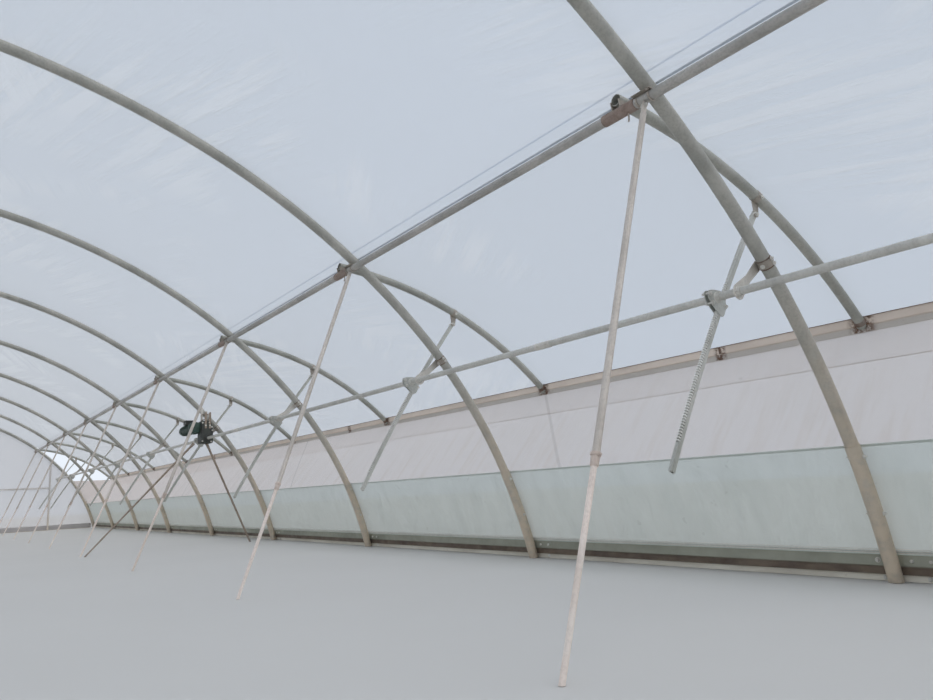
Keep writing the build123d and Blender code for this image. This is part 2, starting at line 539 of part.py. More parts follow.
def gables():
    """End walls: film beside and over a doorway, on posts and rails inside and a board outside."""
    under_hoop = offset_line(UPPER_LINE, -HOOP_TUBE / 2 - GAP)
    over_hoop = offset_line(WHOLE_LINE, HOOP_TUBE / 2 - GAP)
    half = POST / 2
    inside = (GABLE_IN - GAP - POST, GABLE_IN - GAP)
    posts = []
    for x in (JAMB_X, STUD_X):
        top = clip(under_hoop, 0, x - half, x + half)
        posts += both_sides(prism([(x - half, 0), (x + half, 0)] + top, inside))
    girt_low = (JAMB_X + half + GAP, inside[0], GIRT_Z - half)
    girt = block(girt_low, (STUD_X - half - GAP, inside[1], GIRT_Z + half))
    door = JAMB_X - half
    head = block((-door + GAP, inside[0], DOOR_HEIGHT), (door - GAP, inside[1], DOOR_HEIGHT + POST))
    right = clip(over_hoop, 0, 0, 2 * HALF_WIDTH)
    split = DOOR_HEIGHT - GAP
    beside = [(door, GABLE_HEM), crossing(right, 1, GABLE_HEM)]
    beside += [p for p in right if GABLE_HEM < p[1] < split] + [crossing(right, 1, split), (door, split)]
    over = [crossing(right, 1, DOOR_HEIGHT)] + [p for p in right if p[1] > DOOR_HEIGHT]
    depth = (GABLE_IN, GABLE_IN + FILM)
    film = both_sides(prism(beside, depth)) + [prism(over + mirrored(over)[1:], depth)]
    board_in = GABLE_IN + FILM + GAP
    board = block((door, board_in, 0), (BOARD_END_X, board_in + BOARD, BOARD_HEIGHT))
    rails = both_sides(girt) + [head]
    for name, pieces in (("gable_posts", posts), ("gable_rails", rails), ("gable_boards", both_sides(board))):
        NODES[name] = pieces + [piece.mirror(Plane.XZ) for piece in pieces]
    NODES["gable_film_back"] = film
    NODES["gable_film_front"] = [panel.mirror(Plane.XZ) for panel in film]


for build in (hoops, films, base, purlins, props, vent_flaps, racks, pinions, shaft_hangers, shafts,
              gear_motors, gables):
    build()

os.makedirs("parts", exist_ok=True)
for name, pieces in NODES.items():
    solids = [solid for piece in pieces for solid in piece.solids()]
    shape = solids[0] if len(solids) == 1 else Compound(children=solids)
    export_step(shape, f"parts/{name}.step")
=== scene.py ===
"""Looks of the polytunnel greenhouse, in metres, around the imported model.

The right side (+X) is modelled beside the hoop at Y = 0 and copied to every hoop of both sides.
"""
from math import acos, asin, atan2, cos, degrees, hypot, inf, pi, radians, sin, sqrt

import bmesh
import bpy
import numpy as np
from mathutils import Matrix, Vector


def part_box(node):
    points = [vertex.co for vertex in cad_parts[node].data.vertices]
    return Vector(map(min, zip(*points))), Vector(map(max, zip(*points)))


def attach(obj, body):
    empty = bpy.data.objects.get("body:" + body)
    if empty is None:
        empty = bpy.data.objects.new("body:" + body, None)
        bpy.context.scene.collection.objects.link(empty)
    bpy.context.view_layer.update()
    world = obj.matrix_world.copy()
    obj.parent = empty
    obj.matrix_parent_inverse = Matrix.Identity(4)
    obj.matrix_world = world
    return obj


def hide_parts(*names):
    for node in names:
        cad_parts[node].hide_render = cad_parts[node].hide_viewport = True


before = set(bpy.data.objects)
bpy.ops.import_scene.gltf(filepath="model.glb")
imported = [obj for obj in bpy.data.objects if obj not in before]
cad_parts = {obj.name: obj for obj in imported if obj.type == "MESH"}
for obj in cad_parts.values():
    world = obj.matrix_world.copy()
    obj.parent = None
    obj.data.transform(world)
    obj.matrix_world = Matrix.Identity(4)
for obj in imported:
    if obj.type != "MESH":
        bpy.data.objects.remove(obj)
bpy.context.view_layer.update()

# The tunnel's lines, as the part's source has them; a name that ends in _R is the radius of a tube
BAY, BAYS = 2.5, 9
HALF_WIDTH, LEAN = 4.222, 14.4
SIDE_RADIUS, SHOULDER = 3.498, 44.0
HOOP_R, SLEEVE_R, SLEEVE_HEIGHT = 0.030, 0.033, 0.620
PURLIN_R, HINGE_R = 0.021, 0.0245
RIB_R, RIB_RADIUS, RIB_OFFSET, RIB_END_HEIGHT, RIB_TIP = 0.025, 2.935, 0.132, 1.252, 0.020
SHAFT_R, SHAFT_IN, SHAFT_DROP = 0.017, 0.157, 0.131
RACK_ASIDE, RACK_LENGTH, RACK_RADIUS = 0.020, 1.412, 10.0
RACK_HEAD, RACK_THICKNESS, RACK_BODY, TOOTH_HEIGHT = 0.018, 0.014, 0.022, 0.009
RACK_PLAIN_TOP, RACK_PLAIN_END = 0.480, 0.110
LUG, LUG_WIDTH, LUG_TOE = 0.005, 0.050, 0.028
PINION_RADIUS, FINE_TEETH = 0.030, 15
GAP = 0.0003
PROP_R, PROP_INNER_R, PROP_FOOT_IN, PROP_FOOT_Y, COLLAR_HEIGHT = 0.0125, 0.010, 0.788, 0.165, 0.600
MOTOR_HOOP, MOTOR_HALF = 4, 0.068
BRACE_FEET = ((3.916, 0.020), (2.060, -0.225))
DOOR_X, DOOR_HEIGHT = 1.480, 2.150

# Films: how far they lie off their tubes or lines, and the heights and places of their edges and locks
ROOF_OVER, VENT_OVER, LOCK_OVER, NET_OUT = 0.0015, 0.0018, 0.0062, 0.042
SKIRT_BOTTOM, SKIRT_TOP, NET_BOTTOM, FILM_BOTTOM = 0.1203, 0.620, 0.6203, 0.010
VENT_PAST_PURLIN, ROOF_LOCK_SHARE, SKIRT_LOCKS = 0.072, 0.16, (0.612, 0.133)
HEM_OUT, HEM_DROP = 0.034, 0.155

# Places of seams and joints along the tunnel, and the distance between them
NET_SEAM, NET_SEAM_PERIOD, NET_SEAM_SLANT = -7.463, 4.55, 1.1
RAIL_JOINT, RAIL_PERIOD = -7.756, 5.0

WASHER = 0.0016
ALONG, AGAINST = (0, 1, 0), (0, -1, 0)
SIDES = ((1, "right"), (-1, "left"))
ENDS = ((1, "back"), (-1, "front"))


def polar(centre, radius, angle):
    return centre[0] + radius * cos(radians(angle)), centre[1] + radius * sin(radians(angle))


def meeting(a, radius_a, b, radius_b):
    """Where two circles meet, on the right-hand side of the way from a to b."""
    distance = hypot(b[0] - a[0], b[1] - a[1])
    along = (distance ** 2 + radius_a ** 2 - radius_b ** 2) / (2 * distance)
    aside = sqrt(radius_a ** 2 - along ** 2)
    dx, dz = (b[0] - a[0]) / distance, (b[1] - a[1]) / distance
    return a[0] + along * dx + aside * dz, a[1] + along * dz - aside * dx


LENGTH = BAY * BAYS
HOOP_Y = [i * BAY - LENGTH / 2 for i in range(BAYS + 1)]
RACK_Y = RIB_OFFSET + RACK_ASIDE
SIDE_CENTRE = (HALF_WIDTH - SIDE_RADIUS * cos(radians(LEAN)), -SIDE_RADIUS * sin(radians(LEAN)))
ROOF_RADIUS = SIDE_RADIUS + SIDE_CENTRE[0] / cos(radians(SHOULDER))
ROOF_CENTRE = (0.0, SIDE_CENTRE[1] + (SIDE_RADIUS - ROOF_RADIUS) * sin(radians(SHOULDER)))

low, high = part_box("hinge_purlins")
PURLIN = (high.x - PURLIN_R, (low.z + high.z) / 2)
low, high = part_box("drive_shafts")
SHAFT = (high.x - SHAFT_R, (low.z + high.z) / 2)
low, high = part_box("vent_edge_rails")
RAIL_X, RAIL_BOTTOM, RAIL_TOP = high.x - 0.040, low.z, high.z
FLAP_ENDS = (low.y, high.y)
low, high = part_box("roof_film")
ROOF_EDGE, SIDE_ENDS = high.x, (low.y, high.y)
GABLE_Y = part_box("gable_film_back")[0].y
low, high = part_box("rack_lugs")
PIN = (high.x - LUG_WIDTH / 2, low.z + LUG_TOE / 2)

CLAMP = (SHAFT[0] + SHAFT_IN, SHAFT[1] + SHAFT_DROP)
RIB_END = (RAIL_X, RIB_END_HEIGHT)
RIB_SEAT = (PURLIN[0], PURLIN[1] + HINGE_R + RIB_R)
far = meeting(RIB_END, RIB_RADIUS, RIB_SEAT, RIB_RADIUS)
RIB_CENTRE = (RIB_END[0] + RIB_SEAT[0] - far[0], RIB_END[1] + RIB_SEAT[1] - far[1])
VENT_REACH = RIB_RADIUS + RIB_R + VENT_OVER
RACK_CENTRE = meeting(SHAFT, RACK_RADIUS + PINION_RADIUS, PIN, RACK_RADIUS - (TOOTH_HEIGHT + RACK_BODY) / 2)
RACK_START = degrees(atan2(PIN[1] - RACK_CENTRE[1], PIN[0] - RACK_CENTRE[0]))
MESH_ANGLE = degrees(atan2(SHAFT[1] - RACK_CENTRE[1], SHAFT[0] - RACK_CENTRE[0]))
RACK_TOOTH = 2 * pi * PINION_RADIUS / FINE_TEETH


def side_angle(z, radius):
    """Angle of the point at this height on a circle around the side's centre."""
    return degrees(asin((z - SIDE_CENTRE[1]) / radius))


def side_point(z, out):
    """Point at this height, and this far outside the hoops' line, on the side wall's arc."""
    return polar(SIDE_CENTRE, SIDE_RADIUS + out, side_angle(z, SIDE_RADIUS + out))


SLEEVE_ANGLE = side_angle(SLEEVE_HEIGHT, SIDE_RADIUS)


def rib_angle(x, radius=RIB_RADIUS):
    return degrees(acos((x - RIB_CENTRE[0]) / radius))


def tangent(angle):
    """Direction along a circle, at this angle of its normal."""
    return Vector((-sin(radians(angle)), 0, cos(radians(angle))))


def arch(angle, out=0.0):
    """Point of the hoops' line, by the angle of its normal: 0 is +X, 90 straight up."""
    if angle < SHOULDER:
        return polar(SIDE_CENTRE, SIDE_RADIUS + out, angle)
    if angle <= 180 - SHOULDER:
        return polar(ROOF_CENTRE, ROOF_RADIUS + out, angle)
    x, z = polar(SIDE_CENTRE, SIDE_RADIUS + out, 180 - angle)
    return -x, z


def arch_height(x, out):
    """Height of the arch's outside over a place across the tunnel."""
    x = abs(x)
    if x <= polar(ROOF_CENTRE, ROOF_RADIUS + out, SHOULDER)[0]:
        return ROOF_CENTRE[1] + sqrt((ROOF_RADIUS + out) ** 2 - x ** 2)
    return SIDE_CENTRE[1] + sqrt(max((SIDE_RADIUS + out) ** 2 - (x - SIDE_CENTRE[0]) ** 2, 0.0))


def steps(start, end, count):
    return [start + (end - start) * i / count for i in range(count + 1)]


def between(a, b, share):
    """Point this share of the way from a to b."""
    return a[0] + (b[0] - a[0]) * share, a[1] + (b[1] - a[1]) * share


def around(place, *offsets):
    return [(place[0] + x, place[1] + z) for x, z in offsets]


def scaled(points, centre, wide, high):
    return [(centre[0] + (x - centre[0]) * wide, centre[1] + (z - centre[1]) * high) for x, z in points]


def at_y(y, points):
    return [(x, y, z) for x, z in points]


def grid(rows, columns):
    """Faces of a grid of points that are listed row by row."""
    wide = columns + 1
    return [(r * wide + i, r * wide + i + 1, (r + 1) * wide + i + 1, (r + 1) * wide + i)
            for r in range(rows) for i in range(columns)]


def rounded(corners, radius, count=5):
    """Outline through these corners, each rounded by a curve that starts this far from it."""
    made = []
    for i, corner in enumerate(corners):
        here, before, after = Vector(corner), Vector(corners[i - 1]), Vector(corners[(i + 1) % len(corners)])
        start = here + (before - here).normalized() * min(radius, (before - here).length / 2)
        end = here + (after - here).normalized() * min(radius, (after - here).length / 2)
        for t in steps(0.0, 1.0, count):
            made.append(tuple(start * (1 - t) ** 2 + here * 2 * t * (1 - t) + end * t ** 2))
    return made


def ring(centre, way, aside, radius, sides, flat=1.0, shift=0.0):
    """Points in a circle around a way; flat squeezes it on the side that it starts from."""
    aside = Vector(aside if abs(way.dot(Vector(aside))) < 0.7 else (1, 0, 0))
    u = (aside - way * aside.dot(way)).normalized()
    v = way.cross(u)
    turn = [2 * pi * (i + shift) / sides for i in range(sides)]
    return [centre + (u * cos(a) * flat + v * sin(a)) * radius for a in turn]


class Build:
    """Points and faces of one piece; what adds to it also gives it back."""

    def __init__(self):
        self.points, self.faces = [], []

    def add(self, points, faces):
        start = len(self.points)
        self.points += [tuple(p) for p in points]
        self.faces += [tuple(i + start for i in face) for face in faces]
        return self

    def rings(self, rings):
        """Skin over rings of the same number of points, closed at both ends."""
        sides = len(rings[0])
        last = (len(rings) - 1) * sides
        faces = [(i + j, i + (j + 1) % sides, i + sides + (j + 1) % sides, i + sides + j)
                 for i in range(0, last, sides) for j in range(sides)]
        faces += [tuple(range(sides))[::-1], tuple(range(last, last + sides))]
        return self.add([p for each in rings for p in each], faces)

    def tube(self, path, radius, sides=20, wall=0.0, flat=1.0):
        """Round tube along a path; with a wall its far end is open. flat squeezes it along Y."""
        path = [Vector(p) for p in path]
        ways = [(b - a).normalized() for a, b in zip(path, path[1:])]
        ways = [ways[0]] + [(a + b).normalized() for a, b in zip(ways, ways[1:])] + [ways[-1]]
        rings = [ring(point, way, ALONG, radius, sides, flat) for point, way in zip(path, ways)]
        if wall:
            inside = [[p + (q - p) * (1 - wall / radius) for q in each]
                      for p, each in zip(path[-6:], rings[-6:])]
            rings += inside[::-1]
        return self.rings(rings)

    def turned(self, start, way, profile, sides=20):
        """A turned shape: profile is (distance along the way, radius)."""
        start, way = Vector(start), Vector(way).normalized()
        return self.rings([ring(start + way * d, way, (0, 0, 1), r, sides, shift=0.5) for d, r in profile])

    def plate(self, outline, ends):
        """A flat plate with this outline in X and Z, from one Y to another."""
        count = len(outline)
        points = [(x, y, z) for y in ends for x, z in outline]
        sides = [(i, (i + 1) % count, (i + 1) % count + count, i + count) for i in range(count)]
        return self.add(points, sides + [tuple(range(count)), tuple(range(count, 2 * count))[::-1]])

    def block(self, low, high):
        """A block between two corners."""
        points = [(x, y, z) for x in (low[0], high[0]) for y in (low[1], high[1]) for z in (low[2], high[2])]
        faces = [(0, 1, 3, 2), (4, 6, 7, 5), (0, 4, 5, 1), (2, 3, 7, 6), (0, 2, 6, 4), (1, 5, 7, 3)]
        return self.add(points, faces)

    def bolt(self, at, way, head=0.013, grip=0.0):
        """Washer and hexagonal head, and past a grip the washer, nut and thread end."""
        at, way = Vector(at), Vector(way).normalized()
        washer = [(0, head * 0.85), (WASHER, head * 0.85)]
        self.turned(at, way, washer, 14)
        self.turned(at + way * WASHER, way,
                    [(0, head * 0.56), (head * 0.5, head * 0.56), (head * 0.6, head * 0.46)], 6)
        if grip:
            back = at - way * grip
            self.turned(back, -way, washer, 14)
            self.turned(back - way * WASHER, -way, [(0, head * 0.58), (head * 0.7, head * 0.58)], 6)
            self.turned(back, -way, [(0, head * 0.3), (head * 1.2, head * 0.3), (head * 1.3, head * 0.24)], 8)
        return self

    def trim(self, right=inf):
        """Flatten what is under the ground or past this X."""
        self.points = [(min(x, right), y, max(z, 0.0)) for x, y, z in self.points]
        return self

    def copy(self, other, scale=(1, 1, 1), move=(0, 0, 0)):
        moved = np.array(other.points) * np.array(scale) + np.array(move)
        return self.add(moved.tolist(), other.faces)

    def everywhere(self, turned=BAYS):
        """This piece at every hoop of both sides; the turned hoop has it on its other side."""
        whole = Build()
        for side, _ in SIDES:
            for i, y in enumerate(HOOP_Y):
                whole.copy(self, (side, -1 if i == turned else 1, 1), (0, y, 0))
        return whole

    def both(self):
        """This piece on both sides of the tunnel."""
        return Build().copy(self).copy(self, (-1, 1, 1))


def piece(name, build, material, replaces=(), bevel=0.0, smooth=40.0, solid=True):
    """The finished object: on the frame, with its material, and in place of its nodes."""
    mesh = bpy.data.meshes.new(name)
    mesh.from_pydata(build.points, [], build.faces)
    if solid:
        work = bmesh.new()
        work.from_mesh(mesh)
        bmesh.ops.recalc_face_normals(work, faces=work.faces)
        work.to_mesh(mesh)
        work.free()
    mesh.shade_smooth()
    if smooth < 180:
        mesh.set_sharp_from_angle(angle=radians(smooth))
    mesh.materials.append(material)
    made = bpy.data.objects.new(name, mesh)
    bpy.context.scene.collection.objects.link(made)
    if bevel:
        modifier = made.modifiers.new("edges", "BEVEL")
        modifier.width = bevel
        modifier.segments = 2
        modifier.limit_method = "ANGLE"
    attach(made, "root")
    if replaces:
        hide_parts(*replaces)
    return made


class Finish:
    """A Principled material and shorthands for the nodes that feed it."""

    def __init__(self, name, **constants):
        self.material = bpy.data.materials.new(name)
        self.material.use_nodes = True
        self.tree = self.material.node_tree
        self.surface = self.tree.nodes["Principled BSDF"]
        self.place = self.node("TexCoord").outputs["Object"]
        axes = self.node("SeparateXYZ", Vector=self.place).outputs
        self.y, self.z = axes["Y"], axes["Z"]
        for key, value in constants.items():
            self.surface.inputs[key.replace("_", " ")].default_value = value

    def put(self, socket, value):
        if isinstance(value, bpy.types.NodeSocket):
            self.tree.links.new(value, socket)
        else:
            socket.default_value = value

    def node(self, kind, settings=None, inputs=(), **sockets):
        """A node whose sockets are filled in their order, or by their names."""
        made = self.tree.nodes.new("ShaderNode" + kind)
        for key, value in (settings or {}).items():
            setattr(made, key, value)
        for socket, value in zip(made.inputs, inputs):
            self.put(socket, value)
        for key, value in sockets.items():
            self.put(made.inputs[key.replace("_", " ")], value)
        return made

    def noise(self, scale, detail=3.0, stretch=(1, 1, 1), roughness=0.55, place=None):
        """Noise by the place on the object, or by another one, with its axes stretched."""
        stretched = self.node("VectorMath", {"operation": "MULTIPLY"}, (place or self.place, stretch))
        return self.node("TexNoise", Vector=stretched.outputs[0], Scale=scale, Detail=detail,
                         Roughness=roughness).outputs["Fac"]

    def span(self, value, low, high, to_low=0.0, to_high=1.0):
        """A value from low to high, brought smoothly to another span."""
        return self.node("MapRange", {"interpolation_type": "SMOOTHSTEP"}, Value=value, From_Min=low,
                         From_Max=high, To_Min=to_low, To_Max=to_high).outputs["Result"]

    def math(self, kind, a, b):
        return self.node("Math", {"operation": kind}, (a, b)).outputs[0]

    def times(self, a, b):
        return self.math("MULTIPLY", a, b)

    def mix(self, share, a, b):
        made = self.node("Mix", {"data_type": "RGBA"})
        for number, value in ((0, share), (6, a), (7, b)):
            self.put(made.inputs[number], (*value, 1) if isinstance(value, tuple) else value)
        return made.outputs[2]

    def clouds(self, a, b, scale, low, high, most=1.0, detail=5, **noise):
        """Colour a, with b in clouds that cover up to the share most."""
        return self.mix(self.span(self.noise(scale, detail, **noise), low, high, 0.0, most), a, b)

    def near(self, first, period, reach, along=None):
        """1 at a place along the tunnel and every period from it, and 0 further than a reach from there."""
        wrapped = self.math("PINGPONG", self.math("SUBTRACT", along or self.y, first), period / 2)
        return self.span(wrapped, reach * 0.4, reach, 1.0, 0.0)

    def finished(self, colour, height, distance, strength=0.5, alpha=None):
        """The material, with its colour, its bump and how much it covers."""
        self.put(self.surface.inputs["Base Color"], colour)
        if alpha:
            self.put(self.surface.inputs["Alpha"], alpha)
        made = self.node("Bump", Height=height, Distance=distance, Strength=strength)
        self.put(self.surface.inputs["Normal"], made.outputs["Normal"])
        return self.material

    def coarse(self, colour, scale, roughness, grain, detail, distance, strength=0.5):
        """The material of a hard piece: roughness in clouds, and a bump of fine grain."""
        rough = self.span(self.noise(scale, 3), 0.3, 0.7, *roughness)
        self.put(self.surface.inputs["Roughness"], rough)
        return self.finished(colour, self.noise(grain, detail), distance, strength)


RUST, DUST = (0.16, 0.085, 0.05), (0.70, 0.59, 0.46)


def shade(colour, by):
    return tuple(min(1.0, c * by) for c in colour)


def zinc(name, light, dark, rust, dust=0.0, dust_height=0.9, roughness=(0.38, 0.62), metallic=0.35):
    """Weathered galvanised steel: clouds, fine spangle, streaks, rust spots, and dust low down."""
    f = Finish(name, Metallic=metallic)
    colour = f.clouds(light, dark, 3.2, 0.35, 0.68, detail=4)
    colour = f.clouds(colour, shade(dark, 0.72), 95.0, 0.42, 0.66, 0.30, detail=3)
    colour = f.clouds(colour, shade(light, 1.25), 11.0, 0.50, 0.72, 0.35, detail=4, stretch=(1, 1, 0.25))
    if dust:
        low = f.span(f.z, dust_height * 0.15, dust_height, dust, 0.0)
        colour = f.mix(f.times(low, f.span(f.noise(14.0, 4), 0.25, 0.6, 0.45, 1.0)), colour, DUST)
    spots = f.span(f.noise(17.0, 6, roughness=0.7), 0.72 - 0.25 * rust, 0.86 - 0.25 * rust)
    return f.coarse(f.mix(f.times(spots, 0.9), colour, RUST), 24.0, roughness, 140.0, 4, 0.0006)


def rusted(name, light, dark):
    """Rusted steel, in brown clouds with a coarse skin."""
    f = Finish(name, Metallic=0.0)
    colour = f.clouds(light, dark, 30.0, 0.3, 0.7, detail=6, roughness=0.7)
    colour = f.clouds(colour, (0.34, 0.30, 0.27), 9.0, 0.52, 0.7, 0.6, detail=4)
    return f.coarse(colour, 40.0, (0.7, 0.95), 220.0, 5, 0.0012, 0.7)


def paint(name, light, dark):
    """Old machine paint with a fine peel, dust on it and small chips."""
    f = Finish(name)
    colour = f.clouds(light, dark, 12.0, 0.35, 0.7)
    colour = f.clouds(colour, (0.30, 0.29, 0.26), 70.0, 0.68, 0.74, 0.6, detail=6, roughness=0.75)
    return f.coarse(colour, 30.0, (0.35, 0.6), 180.0, 3, 0.0008, 0.4)


def creases(f):
    """Height of a stretched film's creases: fans of fine pulls, 0 where it is smooth."""
    total = 0.0
    for turn, stretch, patches in ((0.42, (8.0, 0.45, 3.0), 0.55), (-0.25, (11.0, 0.6, 4.0), 0.42)):
        turned = f.node("VectorRotate", {"rotation_type": "Z_AXIS"}, Vector=f.place, Angle=turn).outputs[0]
        pulls = f.span(f.noise(1.0, 3, stretch, 0.6, turned), 0.40, 0.62)
        total = f.math("ADD", f.times(pulls, f.span(f.noise(patches, 2), 0.50, 0.62)), total)
    return total


def film(name, near, far, opacity):
    """Thin translucent film: its colour drifts along the tunnel, and creases show lighter."""
    f = Finish(name, Roughness=0.42, IOR=1.45, Specular_IOR_Level=0.3)
    folds = creases(f)
    colour = f.mix(f.span(f.y, -11.0, 8.0), near, far)
    colour = f.mix(f.span(folds, 0.0, 1.2, 0.0, 0.36), colour, (0.90, 0.91, 0.94))
    return f.finished(colour, folds, 0.02, alpha=f.span(folds, 0.0, 1.2, opacity, opacity - 0.03))


def dirty_film(name, clean, far, dirty, opacity, low, high, weave=0.0, runs_share=0.62):
    """Film or net of the side wall: vertical runs of dirt, thickest near its lower edge, a tone by place."""
    f = Finish(name, Roughness=0.55, Specular_IOR_Level=0.3)
    runs = f.span(f.noise(3.4, 5, (0.6, 3.4, 0.16), 0.62), 0.42, 0.72)
    share = f.times(runs, f.span(f.z, low, high, 1.0, 0.25))
    tone = f.mix(f.span(f.y, HOOP_Y[1], HOOP_Y[-1]), clean, far)
    colour = f.mix(f.times(share, runs_share), tone, dirty)
    colour = f.clouds(colour, shade(dirty, 0.6), 13.0, 0.70, 0.74, 0.25, detail=3)
    height = f.noise(7.0, 4, (0.5, 1.5, 0.5))
    if not weave:
        return f.finished(colour, height, 0.02, alpha=f.span(height, 0.3, 0.8, opacity, opacity + 0.06))
    threads = [f.node("TexWave", {"bands_direction": way, "wave_profile": "SIN"}, Vector=f.place,
                      Scale=1 / weave, Distortion=0.0).outputs["Fac"] for way in ("Y", "Z")]
    mesh = f.math("MAXIMUM", *threads)
    slanted = f.math("SUBTRACT", f.y, f.times(f.z, NET_SEAM_SLANT))
    seam = f.times(f.near(NET_SEAM, NET_SEAM_PERIOD, 0.022, slanted), 0.45)
    colour = f.mix(seam, colour, shade(dirty, 0.55))
    height = f.math("ADD", height, f.times(mesh, 0.05))
    return f.finished(colour, height, 0.02, alpha=f.span(mesh, 0.3, 0.9, opacity - 0.10, opacity + 0.10))


def rail_finish(name):
    """The vents' edge rail: dusty pinkish face, grey underside, rust where ribs and joints are."""
    f = Finish(name, Metallic=0.1)
    colour = f.clouds((0.86, 0.75, 0.66), (0.74, 0.64, 0.56), 5.0, 0.35, 0.7, stretch=(1, 0.4, 1))
    under = f.span(f.z, RAIL_TOP - 0.052, RAIL_TOP - 0.041, 1.0, 0.0)
    colour = f.mix(under, colour, (0.60, 0.56, 0.52))
    ribbed, joined = f.near(HOOP_Y[0] + RIB_OFFSET, BAY, 0.085), f.near(RAIL_JOINT, RAIL_PERIOD, 0.05)
    stain = f.times(f.math("MAXIMUM", ribbed, joined), f.span(f.noise(38.0, 5, roughness=0.7), 0.34, 0.58))
    colour = f.mix(stain, colour, RUST)
    colour = f.clouds(colour, (0.27, 0.19, 0.14), 21.0, 0.66, 0.74, 0.7, detail=6, roughness=0.7)
    return f.coarse(colour, 30.0, (0.5, 0.75), 120.0, 4, 0.0008)


def base_finish(name):
    """Base rail: greenish galvanised face; in the recess under its lip a brown that is partly rust and dirt
    and partly painted shade.
    """
    f = Finish(name, Metallic=0.25)
    colour = f.clouds((0.37, 0.375, 0.31), (0.28, 0.29, 0.235), 4.0, 0.35, 0.7, stretch=(1, 0.5, 1))
    brown = f.clouds((0.20, 0.155, 0.115), (0.12, 0.09, 0.07), 11.0, 0.3, 0.7, stretch=(1, 0.5, 1))
    # Below the lip the colour turns to the recess's brown: rust and dirt, with painted shade.
    colour = f.mix(f.span(f.z, 0.060, 0.074, 1.0, 0.0), colour, brown)
    return f.coarse(colour, 18.0, (0.45, 0.75), 90.0, 4, 0.0008)


def plinth_finish(name):
    """Pale fibre cement, stained."""
    f = Finish(name)
    colour = f.clouds((0.76, 0.73, 0.64), (0.60, 0.56, 0.48), 6.0, 0.35, 0.7, detail=6, stretch=(1, 0.4, 1))
    colour = f.clouds(colour, (0.30, 0.25, 0.20), 38.0, 0.66, 0.74, 0.6)
    return f.coarse(colour, 60.0, (0.75, 0.95), 150.0, 5, 0.0012, 0.6)


HOOP_STEEL = zinc("hoop_steel", (0.47, 0.46, 0.42), (0.34, 0.34, 0.31), 0.10, 0.9, 1.5)
RIB_STEEL = zinc("rib_steel", (0.46, 0.46, 0.42), (0.33, 0.34, 0.31), 0.12)
PURLIN_STEEL = zinc("purlin_steel", (0.52, 0.50, 0.47), (0.37, 0.36, 0.34), 0.16)
SHAFT_STEEL = zinc("shaft_steel", (0.66, 0.65, 0.61), (0.52, 0.51, 0.48), 0.06)
PROP_STEEL = zinc("prop_steel", (0.74, 0.68, 0.62), (0.58, 0.53, 0.48), 0.12)
PALE_STEEL = zinc("pale_steel", (0.95, 0.83, 0.76), (0.80, 0.70, 0.63), 0.10, metallic=0.1)
PLATE_STEEL = zinc("plate_steel", (0.74, 0.71, 0.66), (0.58, 0.55, 0.50), 0.26)
CHEEK_STEEL = zinc("cheek_steel", (0.60, 0.61, 0.58), (0.44, 0.45, 0.42), 0.14)
RACK_STEEL = zinc("rack_steel", (0.62, 0.62, 0.58), (0.46, 0.47, 0.43), 0.08, roughness=(0.30, 0.5),
                  metallic=0.3)
GABLE_STEEL = zinc("gable_steel", (0.74, 0.72, 0.71), (0.62, 0.60, 0.58), 0.08, 0.6, metallic=0.1)
BOARD_STEEL = zinc("board_steel", (0.70, 0.69, 0.66), (0.58, 0.57, 0.54), 0.08, 0.5, 0.2)
COLLAR_STEEL = zinc("collar_steel", (0.78, 0.67, 0.60), (0.58, 0.48, 0.42), 0.34, metallic=0.2)
CLAMP_STEEL = zinc("clamp_steel", (0.46, 0.42, 0.37), (0.32, 0.28, 0.24), 0.46)
BOLT_STEEL = zinc("bolt_steel", (0.78, 0.77, 0.73), (0.58, 0.56, 0.52), 0.24, metallic=0.4)
LOCK_METAL = zinc("film_lock", (0.74, 0.72, 0.67), (0.62, 0.60, 0.55), 0.05, roughness=(0.35, 0.5),
                  metallic=0.1)
# Pale steel of the rack teeth: rubbed by the pinions, and paler still as a painted highlight on the tooth
# tops.
WORN_AND_HIGHLIGHT_STEEL = zinc("worn_and_highlight_steel", (0.90, 0.90, 0.86), (0.72, 0.72, 0.68), 0.04, roughness=(0.25, 0.45),
                  metallic=0.2)
# Brown rust of welds, rings and joints; on the rails' lips the same dark brown is painted shadow, the gap
# between film and rail.
RUST_AND_SHADOW_STEEL = rusted("rusted_steel", (0.23, 0.15, 0.11), (0.10, 0.06, 0.045))
HINGE_STEEL = rusted("hinge_steel", (0.37, 0.29, 0.25), (0.22, 0.16, 0.135))
# Near-black for the liners in the racks' hollows: a little grease, and painted shade between the teeth.
GREASE_AND_SHADE = rusted("grease_and_painted_shade", (0.075, 0.070, 0.060), (0.035, 0.032, 0.028))
BRACE_STEEL = rusted("brace_steel", (0.40, 0.33, 0.27), (0.24, 0.19, 0.15))
BLACK_PAINT = paint("gearbox_black", (0.060, 0.066, 0.058), (0.035, 0.037, 0.034))
GREEN_PAINT = paint("motor_green", (0.050, 0.098, 0.076), (0.030, 0.060, 0.048))
ROOF_FILM = film("roof_film", (0.63, 0.73, 0.89), (0.56, 0.575, 0.62), 0.53)
VENT_FILM = film("vent_film", (0.61, 0.72, 0.89), (0.55, 0.56, 0.60), 0.53)
GABLE_FILM = film("gable_film", (0.65, 0.63, 0.66), (0.61, 0.59, 0.61), 0.62)
SKIRT_FILM = dirty_film("skirt_film", (0.58, 0.64, 0.60), (0.50, 0.55, 0.48), (0.50, 0.52, 0.47), 0.76,
                        0.1, 0.6, runs_share=0.25)
NET = dirty_film("net", (0.63, 0.57, 0.55), (0.68, 0.55, 0.48), (0.55, 0.44, 0.37), 0.68,
                 0.62, 1.2, weave=0.0035)
HEM_FILM = dirty_film("hem_film", (0.92, 0.80, 0.74), (0.92, 0.76, 0.68), (0.70, 0.57, 0.50), 0.15,
                      1.05, 1.25)
RAIL = rail_finish("vent_rail")
BASE = base_finish("base_steel")
PLINTH = plinth_finish("concrete_grey")

